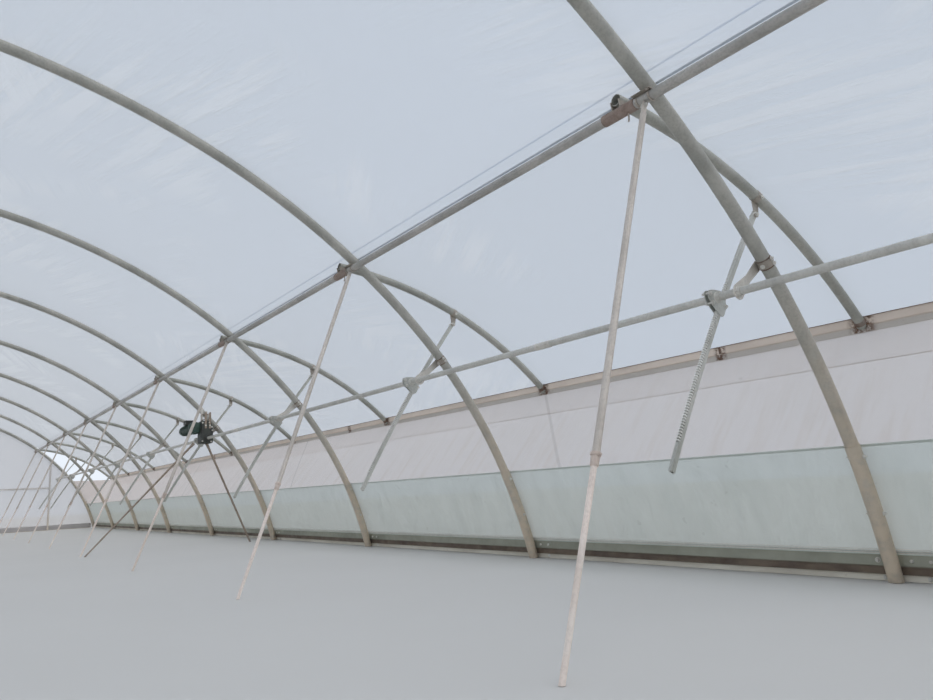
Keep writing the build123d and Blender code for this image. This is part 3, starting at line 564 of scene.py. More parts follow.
KEPT = {
    "base_rails": BASE, "plinths": PLINTH, "vent_edge_rails": RAIL, "motor_hangers": PLATE_STEEL,
    "gable_posts": GABLE_STEEL, "gable_rails": GABLE_STEEL, "gable_boards": BOARD_STEEL,
}
for node, material in KEPT.items():
    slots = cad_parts[node].data.materials
    for i in range(len(slots)):
        slots[i] = material


def hoops():
    path = [arch(a) for a in steps(SLEEVE_ANGLE, 180 - SLEEVE_ANGLE, 72)]
    for number, y in enumerate(HOOP_Y, start=1):
        piece(f"hoop_tube_{number:02d}", Build().tube(at_y(y, path), HOOP_R, 24), HOOP_STEEL,
              [f"hoop_{number:02d}"])
    path = [arch(a) for a in steps(LEAN, SLEEVE_ANGLE, 12)]
    sleeve = Build().tube(at_y(0, path), SLEEVE_R, 24).trim()
    piece("sleeve_tubes", sleeve.everywhere(), HOOP_STEEL, ["ground_sleeves"])
    bolts = Build()
    for angle in (SLEEVE_ANGLE - 1.0, SLEEVE_ANGLE - 5.5):
        x, z = arch(angle)
        bolts.bolt((x, SLEEVE_R, z), ALONG, 0.012, 2 * SLEEVE_R)
    piece("sleeve_bolts", bolts.everywhere(), BOLT_STEEL)


def purlins():
    """Purlins, the vents' hinge sleeves on them with their ties and hooks, and clamps at the hoops."""
    x, z = PURLIN
    path = [(x, y, z) for y in steps(HOOP_Y[0] - 0.03, HOOP_Y[-1] + 0.03, 18)]
    piece("purlin_tubes", Build().tube(path, PURLIN_R, 24).both(), PURLIN_STEEL,
          ["hinge_purlins"])
    bore, long = PURLIN_R + 0.0002, 0.170
    profile = [(0, bore), (0, HINGE_R - 0.001), (0.001, HINGE_R), (long - 0.001, HINGE_R),
               (long, HINGE_R - 0.001), (long, bore)]
    sleeve = Build().turned((x, RIB_OFFSET - long / 2, z), ALONG, profile, 24)
    piece("hinge_tubes", sleeve.everywhere(), HINGE_STEEL, ["hinge_sleeves"])
    ties = Build()
    for side in (-1, 1):
        edge = RIB_OFFSET + side * (RIB_R - 0.004)
        ties.plate([(x - 0.030, RIB_SEAT[1] - 0.004), (x - 0.022, z + 0.008), (x + 0.022, z + 0.008),
                    (x + 0.030, RIB_SEAT[1] - 0.012)], (edge - 0.002, edge + 0.002))
    y = RIB_OFFSET - 0.045
    ties.tube([(x - 0.004, y, z - 0.024), (x - 0.004, y, z - 0.052), (x - 0.012, y - 0.004, z - 0.062)],
              0.0035, 8)
    piece("hinge_ties", ties.everywhere(), CLAMP_STEEL)
    cross = Build()
    for y in (-0.0304, 0.0304):
        strap = [(x + 0.0235 * cos(a), y, z + 0.0235 * sin(a)) for a in steps(-pi * 1.05, pi * 0.05, 12)]
        cross.tube(strap, 0.0045, 8)
    saddle = around(PURLIN, (-0.036, 0.016), (-0.030, 0.022), (0.030, 0.022), (0.036, 0.016))
    cross.plate(saddle, (-0.045, 0.045))
    for side in (-1, 1):
        cross.bolt((x + side * 0.029, side * 0.034, z + 0.018), (0, 0, -1), 0.012)
    piece("purlin_clamps", cross.everywhere(), CLAMP_STEEL, bevel=0.001)


def props():
    """Leaning props: flattened bolted head, upper tube, collar with its screw, and inner tube."""
    head = Vector((PURLIN[0], 0.0, PURLIN[1]))
    foot = Vector((PURLIN[0] - PROP_FOOT_IN, -PROP_FOOT_Y, 0.0))
    way = (foot - head).normalized()
    top = head + way * 0.024
    collar = head + (foot - head) * (1 - COLLAR_HEIGHT / head.z)
    upper = Build().tube([top, top + way * 0.030], PROP_R, flat=0.35)
    upper.tube([top + way * (0.030 + 0.050 * s) for s in (0, 0.5, 1)], PROP_R, flat=0.6)
    upper.tube([top + way * 0.060, collar + way * 0.004], PROP_R)
    lower = Build().tube([collar, foot + way * 0.02], PROP_INNER_R).trim()
    profile = [(0, 0.0126), (0, 0.0162), (0.002, 0.0170), (0.010, 0.0170), (0.012, 0.0136), (0.042, 0.0133),
               (0.044, 0.0118)]
    clamp = Build().turned(collar, way, profile)
    clamp.bolt(collar + way * 0.006 + Vector((0, -0.016, 0)), AGAINST, 0.008)
    bolt = Build().bolt(top + way * 0.012 + Vector((0, -0.006, 0)), AGAINST, 0.011, 0.012)
    piece("prop_tubes", upper.everywhere(turned=0), PROP_STEEL, ["prop_upper_tubes"])
    piece("prop_inner_tubes", lower.everywhere(turned=0), PALE_STEEL, ["prop_lower_tubes"])
    piece("prop_clamps", clamp.everywhere(turned=0), COLLAR_STEEL, ["prop_collars"])
    piece("prop_bolts", bolt.everywhere(turned=0), BOLT_STEEL)


def ribs():
    """The vents' ribs, open at the tip, and the weld around each at the rail."""
    angles = steps(rib_angle(RAIL_X + 0.012), rib_angle(PURLIN[0] - RIB_TIP), 40)
    path = at_y(RIB_OFFSET, [polar(RIB_CENTRE, RIB_RADIUS, a) for a in angles])
    tubes = Build().tube(path, RIB_R, 24, wall=0.003).trim(RAIL_X - GAP)
    piece("rib_tubes", tubes.everywhere(), RIB_STEEL, ["vent_ribs"])
    way = -tangent(rib_angle(RAIL_X))
    start = Vector((RIB_END[0], RIB_OFFSET, RIB_END[1])) - way * 0.028
    weld = Build().turned(start, way, [(0, 0.0252), (0.012, 0.0256), (0.026, 0.0280)], 24).trim(RAIL_X - GAP)
    piece("rib_welds", weld.everywhere(), RUST_AND_SHADOW_STEEL)


def rack_place(along, depth):
    """Point of a rack this far from its pin, and this far from its pitch line towards the shaft."""
    return polar(RACK_CENTRE, RACK_RADIUS + depth, RACK_START + degrees(along / RACK_RADIUS))


def racks():
    """Racks: a folded channel slotted from its web into one flange, so that teeth stand between the slots,
    with a near-black liner in the hollow that paints the shade between the teeth.
    """
    lip, slot, back = -0.0012, -0.0088, -TOOTH_HEIGHT / 2 - RACK_BODY
    low, high, wall = RACK_Y - RACK_THICKNESS / 2, RACK_Y + RACK_THICKNESS / 2, 0.0020
    bars, hollows, teeth = Build(), Build(), Build()

    def bar(build, section, start, end, count):
        """A bar of this section, of points by depth and Y, along a stretch of the rack."""
        stations = [[(rack_place(along, depth), y) for depth, y in section]
                    for along in steps(start, end, count)]
        build.rings([[(x, y, z) for (x, z), y in each] for each in stations])

    bar(bars, [(slot, low), (slot, low + wall), (back + wall, low + wall), (back + wall, high - wall),
               (lip, high - wall), (lip, high), (back, high), (back, low)], -RACK_HEAD, RACK_LENGTH, 48)
    mesh = radians(MESH_ANGLE - RACK_START) * RACK_RADIUS
    first = mesh - RACK_TOOTH * (int((mesh - RACK_PLAIN_TOP) / RACK_TOOTH) + 0.5)
    count = int((RACK_LENGTH - RACK_PLAIN_END - first) / RACK_TOOTH)
    start, end = first - RACK_TOOTH / 2, first + (count - 0.5) * RACK_TOOTH
    floor = slot - 0.001
    cover = [(lip, low), (lip, high - wall), (floor, high - wall), (floor, low)]
    bar(bars, cover, -RACK_HEAD, start, 16)
    bar(bars, cover, end, RACK_LENGTH, 6)
    # A near-black liner inside the channel, behind the slots, paints the shade that falls between the teeth.
    inner = high - wall - 0.0004
    shadow = [(slot - 0.0012, low + wall), (slot - 0.0002, low + wall), (slot - 0.0002, inner - 0.0006),
              (lip - 0.001, inner - 0.0006), (lip - 0.001, inner), (slot - 0.0012, inner)]
    bar(hollows, shadow, start, end, 40)
    foot, top = 0.27 * RACK_TOOTH, 0.20 * RACK_TOOTH
    tooth = ((-foot, floor), (-foot, lip - 0.002), (-top, TOOTH_HEIGHT / 2), (top, TOOTH_HEIGHT / 2),
             (foot, lip - 0.002), (foot, floor))
    for i in range(count):
        along = first + i * RACK_TOOTH
        teeth.plate([rack_place(along + shift, depth) for shift, depth in tooth], (low, high - wall))
    piece("rack_bars", bars.everywhere(), RACK_STEEL, ["racks"])
    piece("rack_hollow_shade", hollows.everywhere(), GREASE_AND_SHADE)
    # The teeth are pale: wear, with a painted highlight.
    piece("rack_teeth", teeth.everywhere(), WORN_AND_HIGHLIGHT_STEEL)


def rack_pins():
    """The lugs under the ribs, the bands that hold them, and the pins of the racks."""
    near = RACK_Y - RACK_THICKNESS / 2 - GAP
    x, z = PIN
    angle = rib_angle(x)
    under = polar(RIB_CENTRE, RIB_RADIUS - RIB_R + 0.004, angle)[1]
    half, toe = LUG_WIDTH / 2, LUG_TOE / 2
    corners = [(x - half, under + 0.008), (x + half, under - 0.010), (x + toe, z - toe), (x - toe, z - toe)]
    lugs = Build().plate(rounded(corners, 0.010, 4), (near - LUG, near))
    centre = Vector((x, RIB_OFFSET, polar(RIB_CENTRE, RIB_RADIUS, angle)[1]))
    way = tangent(angle)
    lugs.turned(centre - way * 0.014, way, [(0, 0.0254), (0.0, 0.0278), (0.028, 0.0278), (0.028, 0.0254)], 24)
    piece("rib_lugs", lugs.everywhere(), CLAMP_STEEL, ["rack_lugs"], bevel=0.0007)
    pins = Build().bolt((x, near - LUG, z), AGAINST, 0.014, LUG + GAP + RACK_THICKNESS)
    pins.bolt(centre + Vector((0.004, -0.028, -0.012)), AGAINST, 0.012)
    pins.tube([(x - 0.004, near - 0.010, z - 0.002), (x - 0.026, near - 0.014, z + 0.002),
               (x - 0.052, near - 0.018, z - 0.014)], 0.0030, 8)
    piece("rack_bolts", pins.everywhere(), BOLT_STEEL)


def pinions():
    """Pinions that mesh with the racks, in housings of two shaped plates with a guide pin behind the rack."""
    x, z = SHAFT
    toward = degrees(atan2(RACK_CENTRE[1] - z, RACK_CENTRE[0] - x))
    tooth = ((-0.36, -0.0046), (-0.14, 0.0040), (0.14, 0.0040), (0.36, -0.0046))
    outline = [polar(SHAFT, PINION_RADIUS + reach, toward + (i + share) * 360 / FINE_TEETH)
               for i in range(FINE_TEETH) for share, reach in tooth]
    gear = Build().plate(outline, (RACK_Y - 0.0065, RACK_Y + 0.0065))
    piece("pinion_gears", gear.everywhere(), RACK_STEEL, ["pinions"])
    near, cheek = RACK_THICKNESS / 2 + GAP, 0.004
    front = RACK_Y - near - cheek
    corners = around(SHAFT, (-0.063, -0.006), (-0.057, 0.028), (-0.020, 0.033), (0.036, 0.032),
                     (0.055, 0.010), (0.059, -0.036), (0.031, -0.083), (0.012, -0.082), (-0.034, -0.042))
    cheeks = Build()
    for start in (front, RACK_Y + near):
        cheeks.plate(rounded(corners, 0.012, 3), (start, start + cheek))
    piece("cheek_plates", cheeks.everywhere(), CHEEK_STEEL, ["pinion_housings"],
          bevel=0.0008)
    bolts = Build()
    guide = polar(SHAFT, PINION_RADIUS + TOOTH_HEIGHT / 2 + RACK_BODY + 0.0055, toward)
    for at_x, at_z in (*around(SHAFT, (-0.050, 0.014), (-0.038, -0.026)), guide):
        bolts.bolt((at_x, front, at_z), AGAINST, 0.013, 2 * (near + cheek))
        bolts.turned((at_x, front + cheek, at_z), ALONG, [(0, 0.005), (2 * near, 0.005)], 12)
    for shift, profile in ((-0.016, [(0, 0.0172), (0, 0.0215), (0.014, 0.0215), (0.0158, 0.0255)]),
                           (0.0228, [(0, 0.0250), (0.003, 0.0215), (0.016, 0.0215), (0.016, 0.0172)])):
        bolts.turned((x, front + shift, z), ALONG, profile, 24)
    piece("housing_bolts", bolts.everywhere(), BOLT_STEEL)


def hangers():
    """Saddle clamps on the hoops and the plates that carry the shaft in their bushes."""
    angle = degrees(atan2(CLAMP[1] - SIDE_CENTRE[1], CLAMP[0] - SIDE_CENTRE[0]))
    x, z = polar(SIDE_CENTRE, SIDE_RADIUS, angle)
    centre, way = Vector((x, 0, z)), tangent(angle)
    out = Vector((cos(radians(angle)), 0, sin(radians(angle))))
    rings, half = [], way * 0.017
    for a in steps(radians(-130), radians(130), 20):
        spoke = -out * cos(a) + Vector(ALONG) * sin(a)
        inner, outer = centre + spoke * HOOP_R, centre + spoke * (HOOP_R + 0.0040)
        rings.append([inner - half, outer - half, outer + half, inner + half])
    piece("saddle_bands", Build().rings(rings).everywhere(), CLAMP_STEEL, ["hoop_clamps"],
          bevel=0.0007)
    down = degrees(atan2(SHAFT[1] - CLAMP[1], SHAFT[0] - CLAMP[0]))
    left, right = [polar(between(SHAFT, CLAMP, 0.5), 0.018, down + turn) for turn in (90, -90)]
    outline = [polar(SHAFT, 0.035, down + a) for a in steps(-100, 100, 14)] + [left]
    outline += [polar(CLAMP, 0.024, down + 180 + a) for a in steps(-80, 80, 8)] + [right]
    side, thick = HOOP_R + 0.0046, 0.005
    plate = Build().plate(outline, (side, side + thick))
    piece("shaft_plates", plate.everywhere(), PLATE_STEEL, ["bearing_plates"], bevel=0.0008)
    bolts = Build()
    for y, profile in ((side - 0.012, [(0, 0.0172), (0, 0.0210), (0.010, 0.0220), (0.012, 0.0250)]),
                       (side + thick, [(0, 0.0250), (0.002, 0.0220), (0.012, 0.0210)])):
        bolts.turned((SHAFT[0], y, SHAFT[1]), ALONG, profile, 24)
    for shift in (-0.012, 0.012):
        at = centre + way * shift
        bolts.bolt((at.x, side + thick, at.z), ALONG, 0.012)
        bolts.bolt((at.x, -HOOP_R - 0.004, at.z), AGAINST, 0.012)
    bolts.bolt(centre - out * (HOOP_R + 0.004), -out, 0.013)
    for a in (-38, 38):
        x, z = polar(SHAFT, 0.0295, down + a)
        bolts.bolt((x, side, z), AGAINST, 0.007)
    piece("hanger_bolts", bolts.everywhere(), BOLT_STEEL)
    rust = Build()
    for shift in (-0.024, 0.017):
        rust.turned(centre + way * shift, way, [(0, 0.0303), (0.003, 0.0318), (0.007, 0.0303)], 24)
    piece("hoop_rust_rings", rust.everywhere(), RUST_AND_SHADOW_STEEL)


def shafts():
    """Drive shafts, and the bolted sleeves that join their lengths."""
    x, z = SHAFT
    path = [(x, y, z) for y in steps(HOOP_Y[0], HOOP_Y[-1], 18)]
    piece("shaft_tubes", Build().tube(path, SHAFT_R, 24).both(), SHAFT_STEEL, ["drive_shafts"])
    joints = Build()
    bore, radius, long = SHAFT_R + 0.0002, 0.0195, 0.120
    for hoop_y in HOOP_Y[1:-1:2]:
        y = hoop_y + 1.20
        joints.turned((x, y, z), ALONG, [(0, bore), (0, radius), (long, radius), (long, bore)], 24)
        for along in (0.025, 0.095):
            joints.bolt((x - radius, y + along, z), (-1, 0, 0), 0.010, 2 * radius)
    piece("shaft_joints", joints.both(), PLATE_STEEL)


def gear_motors():
    """Ribbed gearbox and finned motor with its terminal box, bars to the hoop, and braces."""
    low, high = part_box("gearboxes")
    y0, y1, right, bottom, top = low.y, high.y, high.x, low.z, high.z
    low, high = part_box("motors")
    motor_x, motor_z, length = high.x - MOTOR_HALF, (low.z + high.z) / 2, high.y - y1
    left = SHAFT[0] - 0.082
    centre = ((left + right) / 2, (bottom + top) / 2)
    corners = [(left, bottom), (right, bottom), (right, motor_z - 0.01), (right - 0.028, top), (left, top)]
    outline = rounded(corners, 0.024)
    inner = scaled(outline, centre, 0.92, 0.95)
    rim = [(min(x, right), z) for x, z in scaled(outline, centre, 1.03, 1.0)]
    body = Build().plate(outline, (y0 + 0.012, y1 - 0.012)).plate(inner, (y0, y1))
    for y in (y0 + 0.040, (y0 + y1) / 2, y1 - 0.040):
        body.plate(rim, (y - 0.004, y + 0.004))
    body.turned((motor_x, y1 - 0.008, motor_z), ALONG, [(0, 0.077), (0.008, 0.077)], 32)
    body.turned((SHAFT[0], y0 - 0.010, SHAFT[1]), ALONG,
                [(0, 0.0175), (0, 0.034), (0.004, 0.038), (0.012, 0.038)], 24)
    piece("gearbox_bodies", body.both(), BLACK_PAINT, ["gearboxes"], bevel=0.0015)
    profile = [(0, 0.062), (0.004, 0.066), (0.022, 0.066), (0.026, 0.056), (0.360, 0.056), (0.364, 0.063),
               (0.380, 0.063), (0.384, 0.060), (0.430, 0.060), (0.444, 0.052), (length - 0.010, 0.050),
               (length, 0.036)]
    motor = Build().turned((motor_x, y1, motor_z), ALONG, profile, 36)
    fins = 28
    for i in range(fins):
        a = 2 * pi * i / fins
        u, v = Vector((cos(a), 0, sin(a))), Vector((-sin(a), 0, cos(a)))
        start = Vector((motor_x, y1 + 0.030, motor_z)) + u * 0.054
        tip = start + u * 0.0125
        fin = [start - v * 0.0018, start + v * 0.0018, tip + v * 0.0011, tip - v * 0.0011]
        motor.rings([fin, [p + Vector((0, 0.328, 0)) for p in fin]])
    piece("motor_bodies", motor.both(), GREEN_PAINT, ["motors"], smooth=30)
    profile = [(0, 0.050), (0.006, 0.062), (0.060, 0.062), (0.064, 0.072), (y1 - y0 - 0.048, 0.074)]
    adapter = Build().turned((motor_x, y0 + 0.040, motor_z), ALONG, profile, 32)
    piece("motor_adapters", adapter.both(), GREEN_PAINT, smooth=30)
    box_x, box_z, box_half, box_height = motor_x - 0.030, motor_z + 0.050, 0.044, 0.046
    corners = rounded(around((box_x, box_z), (-box_half, 0), (box_half, 0), (box_half, box_height),
                             (-box_half, box_height)), 0.008, 3)
    lid = [(x, z + box_height) for x, z in scaled(corners, (box_x, box_z), 1.05, 0.16)]
    box = Build().plate(corners, (y1 + 0.080, y1 + 0.190)).plate(lid, (y1 + 0.077, y1 + 0.193))
    box.turned((box_x, y1 + 0.190, box_z + 0.022), ALONG,
               [(0, 0.011), (0.008, 0.011), (0.010, 0.009), (0.026, 0.009)], 12)
    piece("terminal_boxes", box.both(), BLACK_PAINT, bevel=0.0012)
    bolts = Build()
    for x, z in scaled(inner[2::5], centre, 0.90, 0.92):
        bolts.bolt((x, y0, z), AGAINST, 0.012)
    for x, z in scaled(corners[2::4], (box_x, box_z), 0.86, 1.0):
        bolts.bolt((x, y1 + 0.135, motor_z + 0.105), (0, 0, 1), 0.007)
    low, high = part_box("motor_hangers")
    straps, strap_top = Build(), high.z - 0.075
    bars = (high.x - 0.015, high.x - 0.065)
    for x in bars:
        straps.plate([(x - 0.012, motor_z - 0.015), (x + 0.012, motor_z - 0.015), (x + 0.012, strap_top),
                      (x - 0.012, strap_top)], (y0 - 0.006, y0 - 0.0005))
        for z in (top + 0.020, high.z - 0.090):
            straps.turned((x, y0 - 0.001, z), ALONG, [(0, 0.006), (y1 - y0 + 0.002, 0.006)], 12)
        bolts.bolt((x, y0 - 0.006, motor_z + 0.020), AGAINST, 0.012)
    piece("hanger_straps", straps.both(), BRACE_STEEL, bevel=0.0008)
    for x in bars:
        for z in (top - 0.110, top - 0.060, high.z - 0.090):
            bolts.bolt((x, y1 + 0.0075, z), ALONG, 0.012)
    piece("drive_bolts", bolts.both(), BOLT_STEEL)
    braces = Build()
    for x, (foot_x, foot_y) in zip((right - 0.054, motor_x - 0.023), BRACE_FEET):
        head = Vector((x, (y0 + y1) / 2, bottom))
        foot = Vector((foot_x, HOOP_Y[MOTOR_HOOP] + foot_y, 0.0))
        way = (foot - head).normalized()
        braces.tube([head - way * 0.004, foot + way * 0.02], 0.0135)
        braces.turned(head, way, [(0, 0.020), (0.006, 0.020), (0.010, 0.016), (0.050, 0.0155)])
    piece("brace_tubes", braces.trim().both(), BRACE_STEEL, ["motor_braces"])


rng = np.random.default_rng(7)


def waves(count, low, high):
    """Random waves: wave numbers along two directions, phases and sizes."""
    along = rng.uniform(low, high, count)
    across = rng.uniform(-0.5, 0.5, count) * high
    return [(a, b, rng.uniform(0, 2 * pi), 1 / (1 + a)) for a, b in zip(along, across)]


def ripple(table, s, y):
    return sum(size * sin(a * y + b * s + phase) for a, b, phase, size in table)


def cloth(name, line, ends, rows, material, node, sag, crumple, pinned=True, side=1):
    """A sheet over a line of (point, outward normal), along the tunnel; it sags in the middle of each bay."""
    table = waves(9, 3.0, 22.0)
    points = []
    for y in steps(*ends, rows):
        bay = (y - ends[0]) / (ends[1] - ends[0]) * BAYS
        hang = sin(pi * (bay % 1.0)) ** 2
        for i, ((x, z), (nx, nz)) in enumerate(line):
            s = i / (len(line) - 1)
            hold = sin(pi * s) ** 0.5 if pinned else s
            move = -sag * hang * hold + crumple * ripple(table, s * 4, y) * hold
            points.append((side * (x + nx * move), y, z + nz * move))
    build = Build().add(points, grid(rows, len(line) - 1))
    made = piece(name, build, material, [node] if node else (), smooth=180, solid=False)


def line_of(points):
    """Points with their outward normals, for cloth."""
    made = []
    for i, (x, z) in enumerate(points):
        ax, az = points[max(i - 1, 0)]
        bx, bz = points[min(i + 1, len(points) - 1)]
        length = hypot(bx - ax, bz - az)
        made.append(((x, z), ((bz - az) / length, (ax - bx) / length)))
    return made


def hinge_edges():
    """The two edges, in X and Z, of the strip that closes the gap between the vent's film and the roof's."""
    vent = polar(RIB_CENTRE, VENT_REACH, rib_angle(PURLIN[0] + VENT_PAST_PURLIN, VENT_REACH))
    return vent, (ROOF_EDGE - 0.004, arch_height(ROOF_EDGE, HOOP_R + LOCK_OVER))


def films():
    """Roof film, and on each side the vent's film with its hinge strip and hem, the skirt and the net."""
    reach = ROOF_RADIUS + HOOP_R + ROOF_OVER
    low = degrees(acos(ROOF_EDGE / reach))
    roof = line_of([polar(ROOF_CENTRE, reach, a) for a in steps(low, 180 - low, 84)])
    cloth("roof_cover", roof, SIDE_ENDS, 420, ROOF_FILM, "roof_film", 0.006, 0.0016)
    angles = [rib_angle(x, VENT_REACH) for x in (RAIL_X - 0.0005, PURLIN[0] + VENT_PAST_PURLIN)]
    vent = line_of([polar(RIB_CENTRE, VENT_REACH, a) for a in steps(*angles, 32)])
    reach = SIDE_RADIUS + SLEEVE_R + VENT_OVER
    low, high = side_angle(SKIRT_BOTTOM, reach), side_angle(SKIRT_TOP, reach)
    skirt = line_of([polar(SIDE_CENTRE, reach, a) for a in steps(low, high, 14)])
    net_low = (polar(SIDE_CENTRE, SIDE_RADIUS + NET_OUT, high)[0], NET_BOTTOM)
    net_high = (RAIL_X + 0.0095, RAIL_BOTTOM - GAP)
    net = line_of([between(net_low, net_high, t) for t in steps(0, 1, 18)])
    hem_low, hem_high = (RAIL_X + HEM_OUT, RAIL_BOTTOM - HEM_DROP), (RAIL_X + HEM_OUT, RAIL_BOTTOM - GAP)
    hem = [(between(hem_high, hem_low, t), (1.0, 0.0)) for t in steps(0, 1, 8)]
    table = {
        "vent_cover": (vent, 360, VENT_FILM, "vent_film", "vent_films", FLAP_ENDS, 0.006, 0.0014),
        "skirt_cover": (skirt, 420, SKIRT_FILM, "skirt_film", "side_skirts", SIDE_ENDS, 0.002, 0.0008),
        "net_screen": (net, 360, NET, "net", "insect_nets", FLAP_ENDS, 0.010, 0.0012),
    }
    for name, (line, rows, material, slot, node, ends, sag, crumple) in table.items():
        for side, label in SIDES:
            cloth(f"{name}_{label}", line, ends, rows, material, node, sag, crumple,
                  side=side)
    hinge = line_of([between(*hinge_edges(), t) for t in steps(0, 1, 3)])
    for side, label in SIDES:
        cloth(f"hinge_strip_{label}", hinge, FLAP_ENDS, 180, VENT_FILM, None, 0.0, 0.0008,
              side=side)
        cloth(f"hem_strip_{label}", hem, FLAP_ENDS, 900, HEM_FILM, "vent_hems", 0.0, 0.0045,
              pinned=False, side=side)


def net_ends():
    """Net that closes the space between the end hoops and the vents' nets, below the level of the rails."""
    rows, columns = 14, 8
    low, high = NET_BOTTOM, RAIL_BOTTOM - 0.004
    foot = side_point(low, NET_OUT)[0]
    start, stop = HOOP_Y[-1] - 0.012, FLAP_ENDS[1] - 0.003
    for side, label in SIDES:
        for end, where in ENDS:
            points, area = [], 0.0
            for t in steps(0, 1, rows):
                z = low + (high - low) * t
                hoop_x = side_point(z, HOOP_R + 0.0012)[0]
                net_x = foot + (RAIL_X + 0.0065 - foot) * t
                area += max(net_x - hoop_x, 0.0) * (high - low) / rows
                for u in steps(0, 1, columns):
                    y = start + (stop - start) * u - 0.006 * sin(pi * u) * t
                    points.append((side * (hoop_x + (net_x - hoop_x) * u), end * y, z))
            build = Build().add(points, grid(rows, columns))
            made = piece(f"net_end_{label}_{where}", build, NET, smooth=180, solid=False)


def gable_films():
    """End walls of film, each in three panels: beside, over and beside its doorway."""
    out = HOOP_R - 0.0005
    edge = SIDE_CENTRE[0] + sqrt((SIDE_RADIUS + out) ** 2 - (FILM_BOTTOM + 0.002 - SIDE_CENTRE[1]) ** 2)
    table = waves(9, 2.0, 12.0)
    columns, rows = 60, 30
    for way, where in ENDS:
        build, area = Build(), 0.0
        for x0, x1, bottom in ((-edge, -DOOR_X, FILM_BOTTOM), (-DOOR_X, DOOR_X, DOOR_HEIGHT),
                               (DOOR_X, edge, FILM_BOTTOM)):
            points = []
            for x in steps(x0, x1, columns):
                top = max(arch_height(x, out), bottom + 0.002)
                for j in range(rows + 1):
                    z = bottom + (top - bottom) * j / rows
                    free = sin(pi * (x - x0) / (x1 - x0)) * sin(pi * j / rows)
                    y = GABLE_Y + 0.0015 + 0.0022 * free * ripple(table, z * 3, x * 2)
                    points.append((x, way * y, z))
                area += (top - bottom) * (x1 - x0) / columns
            build.add(points, grid(columns, rows))
        made = piece(f"end_cover_{where}", build, GABLE_FILM, [f"gable_film_{where}"],
                     smooth=180, solid=False)


def film_locks():
    """Two-rib profiles that hold the films, wires bent to and fro in their grooves, and ridges below."""
    x, z = between(*hinge_edges(), ROOF_LOCK_SHARE)
    rows = [(ROOF_CENTRE, hypot(x - ROOF_CENTRE[0], z - ROOF_CENTRE[1]) + 0.0012,
             degrees(atan2(z - ROOF_CENTRE[1], x - ROOF_CENTRE[0])))]
    reach = SIDE_RADIUS + SLEEVE_R + 0.0040
    rows += [(SIDE_CENTRE, reach, side_angle(z, reach)) for z in SKIRT_LOCKS]
    section = ((0, -1), (0, 1), (0.006, 1), (0.006, 0.6), (0.002, 0.5), (0.002, -0.5), (0.006, -0.6),
               (0.006, -1))
    locks, wires = Build(), Build()
    for centre, radius, angle in rows:
        half = degrees(0.0045 / radius)
        locks.plate([polar(centre, radius + out, angle + turn * half) for out, turn in section], SIDE_ENDS)
        bends = [polar(centre, radius + 0.0042, angle + turn * half) for turn in (-0.35, 0.35)]
        ys = steps(SIDE_ENDS[0] + 0.02, SIDE_ENDS[1] - 0.02, 300)
        wires.tube([(bends[i % 2][0], y, bends[i % 2][1]) for i, y in enumerate(ys)], 0.0012, 5)
    for low, high in ((0.126, 0.1315), (0.135, 0.1395), (0.144, 0.1465)):
        ridge = ((low, 0.0003), (low, 0.0014), (high, 0.0014), (high, 0.0003))
        locks.plate([side_point(z, SLEEVE_R + out) for z, out in ridge], SIDE_ENDS)
    piece("lock_profiles", locks.both(), LOCK_METAL, ["film_locks"])
    piece("lock_wires", wires.both(), BOLT_STEEL)


def trims():
    """Rods in the hems, film locks on the end hoops, lips of the rails dark with painted shadow, joints of
    the rails, bolts of the base.
    """
    path = [(RAIL_X + HEM_OUT + 0.002, y, RAIL_BOTTOM - HEM_DROP + 0.003) for y in steps(*FLAP_ENDS, 60)]
    piece("hem_rods", Build().tube(path, 0.0030, 8).both(), BOLT_STEEL)
    locks = Build()
    for end, _ in ENDS:
        y, rings = end * (GABLE_Y - 0.012), []
        for a in steps(LEAN + 0.4, 180 - LEAN - 0.4, 120):
            (x0, z0), (x1, z1) = arch(a, HOOP_R + LOCK_OVER), arch(a, HOOP_R + 0.0120)
            rings.append([(x0, y - 0.010, z0), (x1, y - 0.010, z1), (x1, y + 0.010, z1), (x0, y + 0.010, z0)])
        locks.rings(rings)
    piece("end_film_locks", locks, LOCK_METAL)
    # The lip along each rail's top is dark brown: it paints the shadow in the gap between the vent's film and
    # the rail.
    lip = around((RAIL_X, RAIL_TOP), (-0.0035, -0.0005), (0.010, 0.0015), (0.010, 0.0045), (-0.0035, 0.0030))
    piece("rail_lip_shadows", Build().plate(lip, FLAP_ENDS).both(), RUST_AND_SHADOW_STEEL)
    low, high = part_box("base_rails")
    face = high.x - 0.060
    bolts, plates = Build(), Build()
    for hoop, y in enumerate(HOOP_Y):
        for x, z, head, shifts in ((face, 0.094, 0.015, (-0.155, -0.075, 0.075)),
                                   (high.x - 0.0385, 0.016, 0.013, (-0.13, 0.06))):
            for shift in shifts:
                at = max(SIDE_ENDS[0] + 0.03, min(SIDE_ENDS[1] - 0.03, y + shift))
                bolts.bolt((x, at, z), (-1, 0, 0), head)
        if 0 < hoop < BAYS:
            plates.block((face - 0.0025, y - 0.19, 0.074), (face, y - 0.035, 0.1185))
    piece("base_bolts", bolts.both(), BOLT_STEEL)
    piece("base_joint_plates", plates.both(), BASE, bevel=0.0006)
    joints = Build()
    for i in range(4):
        y = RAIL_JOINT + i * RAIL_PERIOD
        joints.block((RAIL_X - 0.0022, y - 0.006, RAIL_TOP - 0.0405), (RAIL_X + 0.004, y + 0.006, RAIL_TOP))
        joints.block((RAIL_X + 0.004, y - 0.006, RAIL_BOTTOM), (RAIL_X + 0.0095, y + 0.006, RAIL_TOP - 0.040))
    piece("rail_joints", joints.both(), RUST_AND_SHADOW_STEEL, bevel=0.001)


for make in (hoops, purlins, props, ribs, racks, rack_pins, pinions, hangers, shafts, gear_motors, films,
             net_ends, gable_films, film_locks, trims):
    make()


